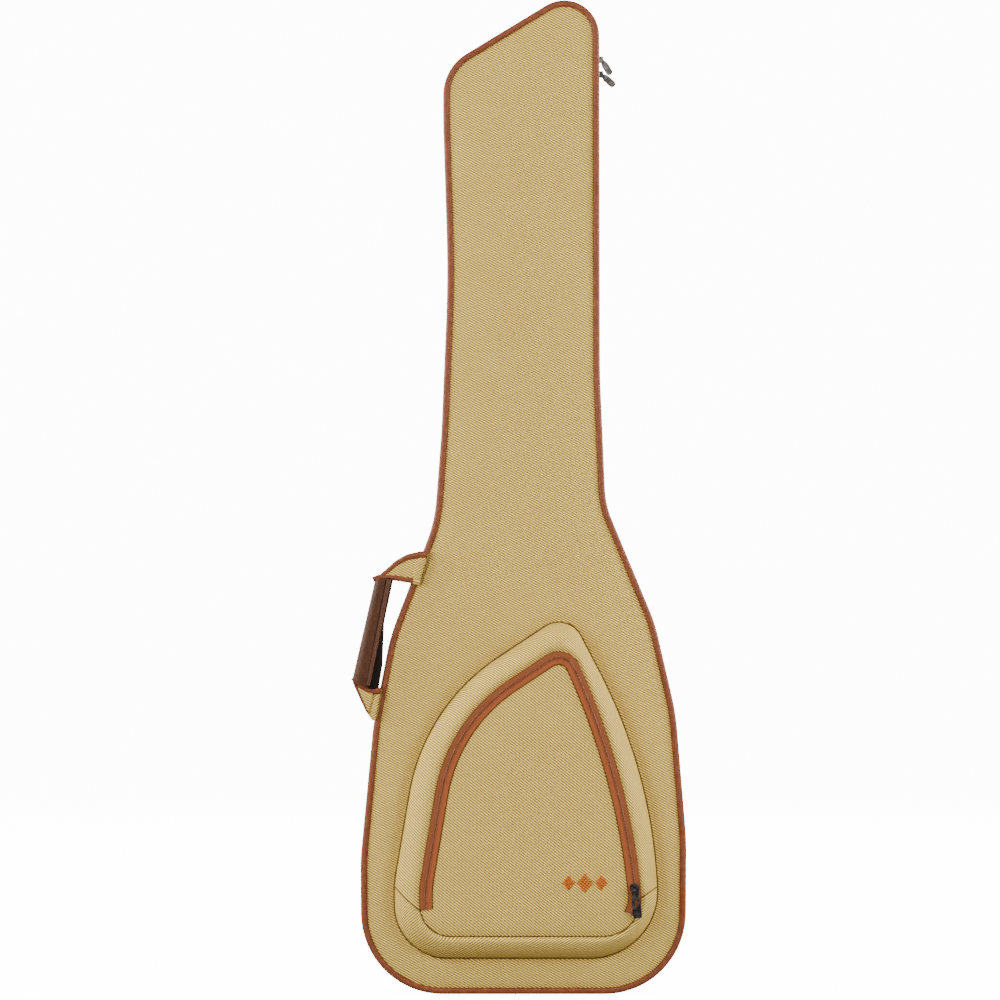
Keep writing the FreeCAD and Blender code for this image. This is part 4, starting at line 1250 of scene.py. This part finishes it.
def inside_pieces():
    cushion("end_pin_cushion", [(-0.140, 0.0087, 0.030), (-0.120, 0.062, 0.012), (0.120, 0.062, 0.012),
            (0.140, 0.0087, 0.030)], "end_pin_block")
    cushion("headstock_cushion", [(-0.078, 1.104, 0.008), (-0.078, 1.116, 0.006), (0.084, 1.216, 0.034),
            (0.084, 1.104, 0.008)], "headstock_pad")
    lo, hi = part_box("neck_cradle")
    groove, deep, soft = 0.023, 0.0135, 0.004
    bed = [(-groove * math.cos(a), lo.y + deep * (0.35 + 0.65 * math.sin(a)))
           for a in np.linspace(0.1, math.pi - 0.1, 9)]
    section = [(lo.x + 0.001, hi.y), (lo.x, lo.y + soft), (lo.x + soft, lo.y), (-groove - soft, lo.y),
               (-groove, lo.y + soft), *bed, (groove, lo.y + soft), (groove + soft, lo.y), (hi.x - soft, lo.y),
               (hi.x, lo.y + soft), (hi.x - 0.001, hi.y)]
    middle_z, half = (lo.z + hi.z) / 2, (hi.z - lo.z) / 2
    ends = ((-1, 0.95), (-0.97, 0.985), (-0.9, 1), (-0.3, 1), (0.3, 1), (0.9, 1), (0.97, 0.985), (1, 0.95))
    rings = [[(x * shrink, hi.y + (y - hi.y) * shrink, middle_z + half * share) for x, y in section]
             for share, shrink in ends]
    settle(loft("neck_cradle_cushion", rings, LINING), "root", "neck_cradle", fill=0.9)
    lo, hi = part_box("neck_strap")
    middle = (lo + hi) / 2
    line = [(x, middle.y, middle.z) for x in np.linspace(lo.x + 0.001, hi.x - 0.001, 18)]
    strap = ribbon("neck_strap_webbing", line, (hi.z - lo.z) / 2 - 0.0006, 0.0013, start=lo.x + 0.001)
    settle(strap, "neck_strap", "neck_strap")


# ---------------------------------------------------------------- plain embroidered ornament


def ornament(face):
    """Three lozenges in satin stitch at the pocket's lower right."""
    rows, z0 = 11, 0.1385
    for number, (x0, size) in enumerate(((0.058, 0.0090), (0.078, 0.0115), (0.098, 0.0090))):
        verts, faces = [], []
        thick = size / rows
        for r in range(rows):
            share = (r + 0.5) / rows * 2 - 1
            half = size * (1 - abs(share)) * 0.85 + 0.0006
            z = z0 + share * size
            faces += skin(5, 4, start=len(verts))
            for x in np.linspace(-half, half, 5):
                y = float(face([x0 + x], [z])[0]) - 0.0002
                lift = 0.0011 * (1 - (x / half) ** 4 * 0.8)
                verts += [(x0 + x, y + 0.0006, z - thick * 0.9), (x0 + x, y - lift, z - thick * 0.35),
                          (x0 + x, y - lift, z + thick * 0.35), (x0 + x, y + 0.0006, z + thick * 0.9)]
        settle(new_piece(f"pocket_lozenge_{number}", verts, faces, THREAD_ORANGE), "pocket_cover")


# ---------------------------------------------------------------- camera, light, floor


def camera():
    """A long lens from straight ahead, framed as in the photograph."""
    data = bpy.data.cameras.new("camera")
    obj = add_object("camera", data)
    lo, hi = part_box("rear_piping")
    away, margin, sensor = 9.0, 1.0055, 36
    obj.location = (-0.0257, -away, (hi.z + lo.z) / 2 - 0.0035)
    obj.rotation_euler = (math.radians(90), 0, 0)
    data.sensor_width = sensor
    data.lens = sensor * (away + FRONT) / ((hi.z - lo.z) * margin)
    data.clip_end = 60
    bpy.context.scene.camera = obj


def studio():
    """Pale floor that curves up into a round wall, and broad soft lights."""
    floor, bend, tall, around = 14.0, 3.0, 22.0, 64
    curve = [(floor + bend * math.sin(a), bend - bend * math.cos(a))
             for a in np.linspace(0.1, math.pi / 2, 12)]
    profile = [(0.0, 0.0), (floor, 0.0), *curve, (floor + bend, tall)]
    turns = [2 * math.pi * k / around for k in range(around)]
    verts = [(radius * math.cos(a), radius * math.sin(a), z - 0.0002) for radius, z in profile for a in turns]
    n = Nodes("studio_paper")
    n.shader.inputs["Emission Color"].default_value = (1, 1, 1, 1)
    n.shader.inputs["Emission Strength"].default_value = 13.0
    paper = n.finish(n.ramp(n.noise(n.coords(), 3.0), (0.0, (0.90,) * 3), (1.0, (0.94,) * 3)), rough=0.9)
    backdrop = new_piece("studio_backdrop", verts, skin(len(profile), around)[:-2], paper)
    backdrop.visible_diffuse = backdrop.visible_glossy = backdrop.visible_shadow = False
    middle = (0, 0, 0.6)
    for name, place, aim, width, height, power in (
        ("key_left", (-2.8, -2.2, 1.4), middle, 1.6, 2.4, 122),
        ("key_right", (2.8, -2.1, 1.2), middle, 1.6, 2.4, 86),
        ("graze_left", (-1.35, -0.13, 0.86), (0, 0, 0.86), 0.3, 0.5, 28),
        ("graze_right", (1.35, -0.13, 0.86), (0, 0, 0.86), 0.3, 0.5, 28),
        ("front_fill", (0, -5.0, 2.0), middle, 2.5, 2.5, 126),
        ("top", (0, -0.6, 3.4), middle, 3.0, 2.0, 22),
        ("back_left", (-2.6, 2.4, 1.6), middle, 1.4, 2.4, 90),
        ("back_right", (2.6, 2.2, 1.9), middle, 1.4, 2.4, 80),
        ("back_fill", (0, 5.0, 2.2), middle, 2.5, 2.5, 110),
    ):
        data = bpy.data.lights.new(name, "AREA")
        data.shape = "RECTANGLE"
        data.size, data.size_y, data.energy = width, height, power
        obj = add_object(name, data)
        obj.location = place
        obj.rotation_euler = (Vector(aim) - Vector(place)).to_track_quat("-Z", "Y").to_euler()
        obj.visible_camera = False
    world = bpy.data.worlds.new("studio")
    bpy.context.scene.world = world
    world.use_nodes = True
    world.node_tree.nodes["Background"].inputs[0].default_value = (1, 1, 1, 1)
    world.node_tree.nodes["Background"].inputs[1].default_value = 0.52


camera()
studio()
panels()
edges()
pocket_border()
pocket_skin = pocket_face()
ornament(pocket_skin)
pocket_zip(pocket_skin)
handle()
back_pieces()
inside_pieces()

for node_name in ("zip_slider_upper", "zip_slider_lower", "zip_pull_upper", "zip_pull_lower",
                  "pocket_slider", "pocket_pull"):
    dress(node_name, GUNMETAL)
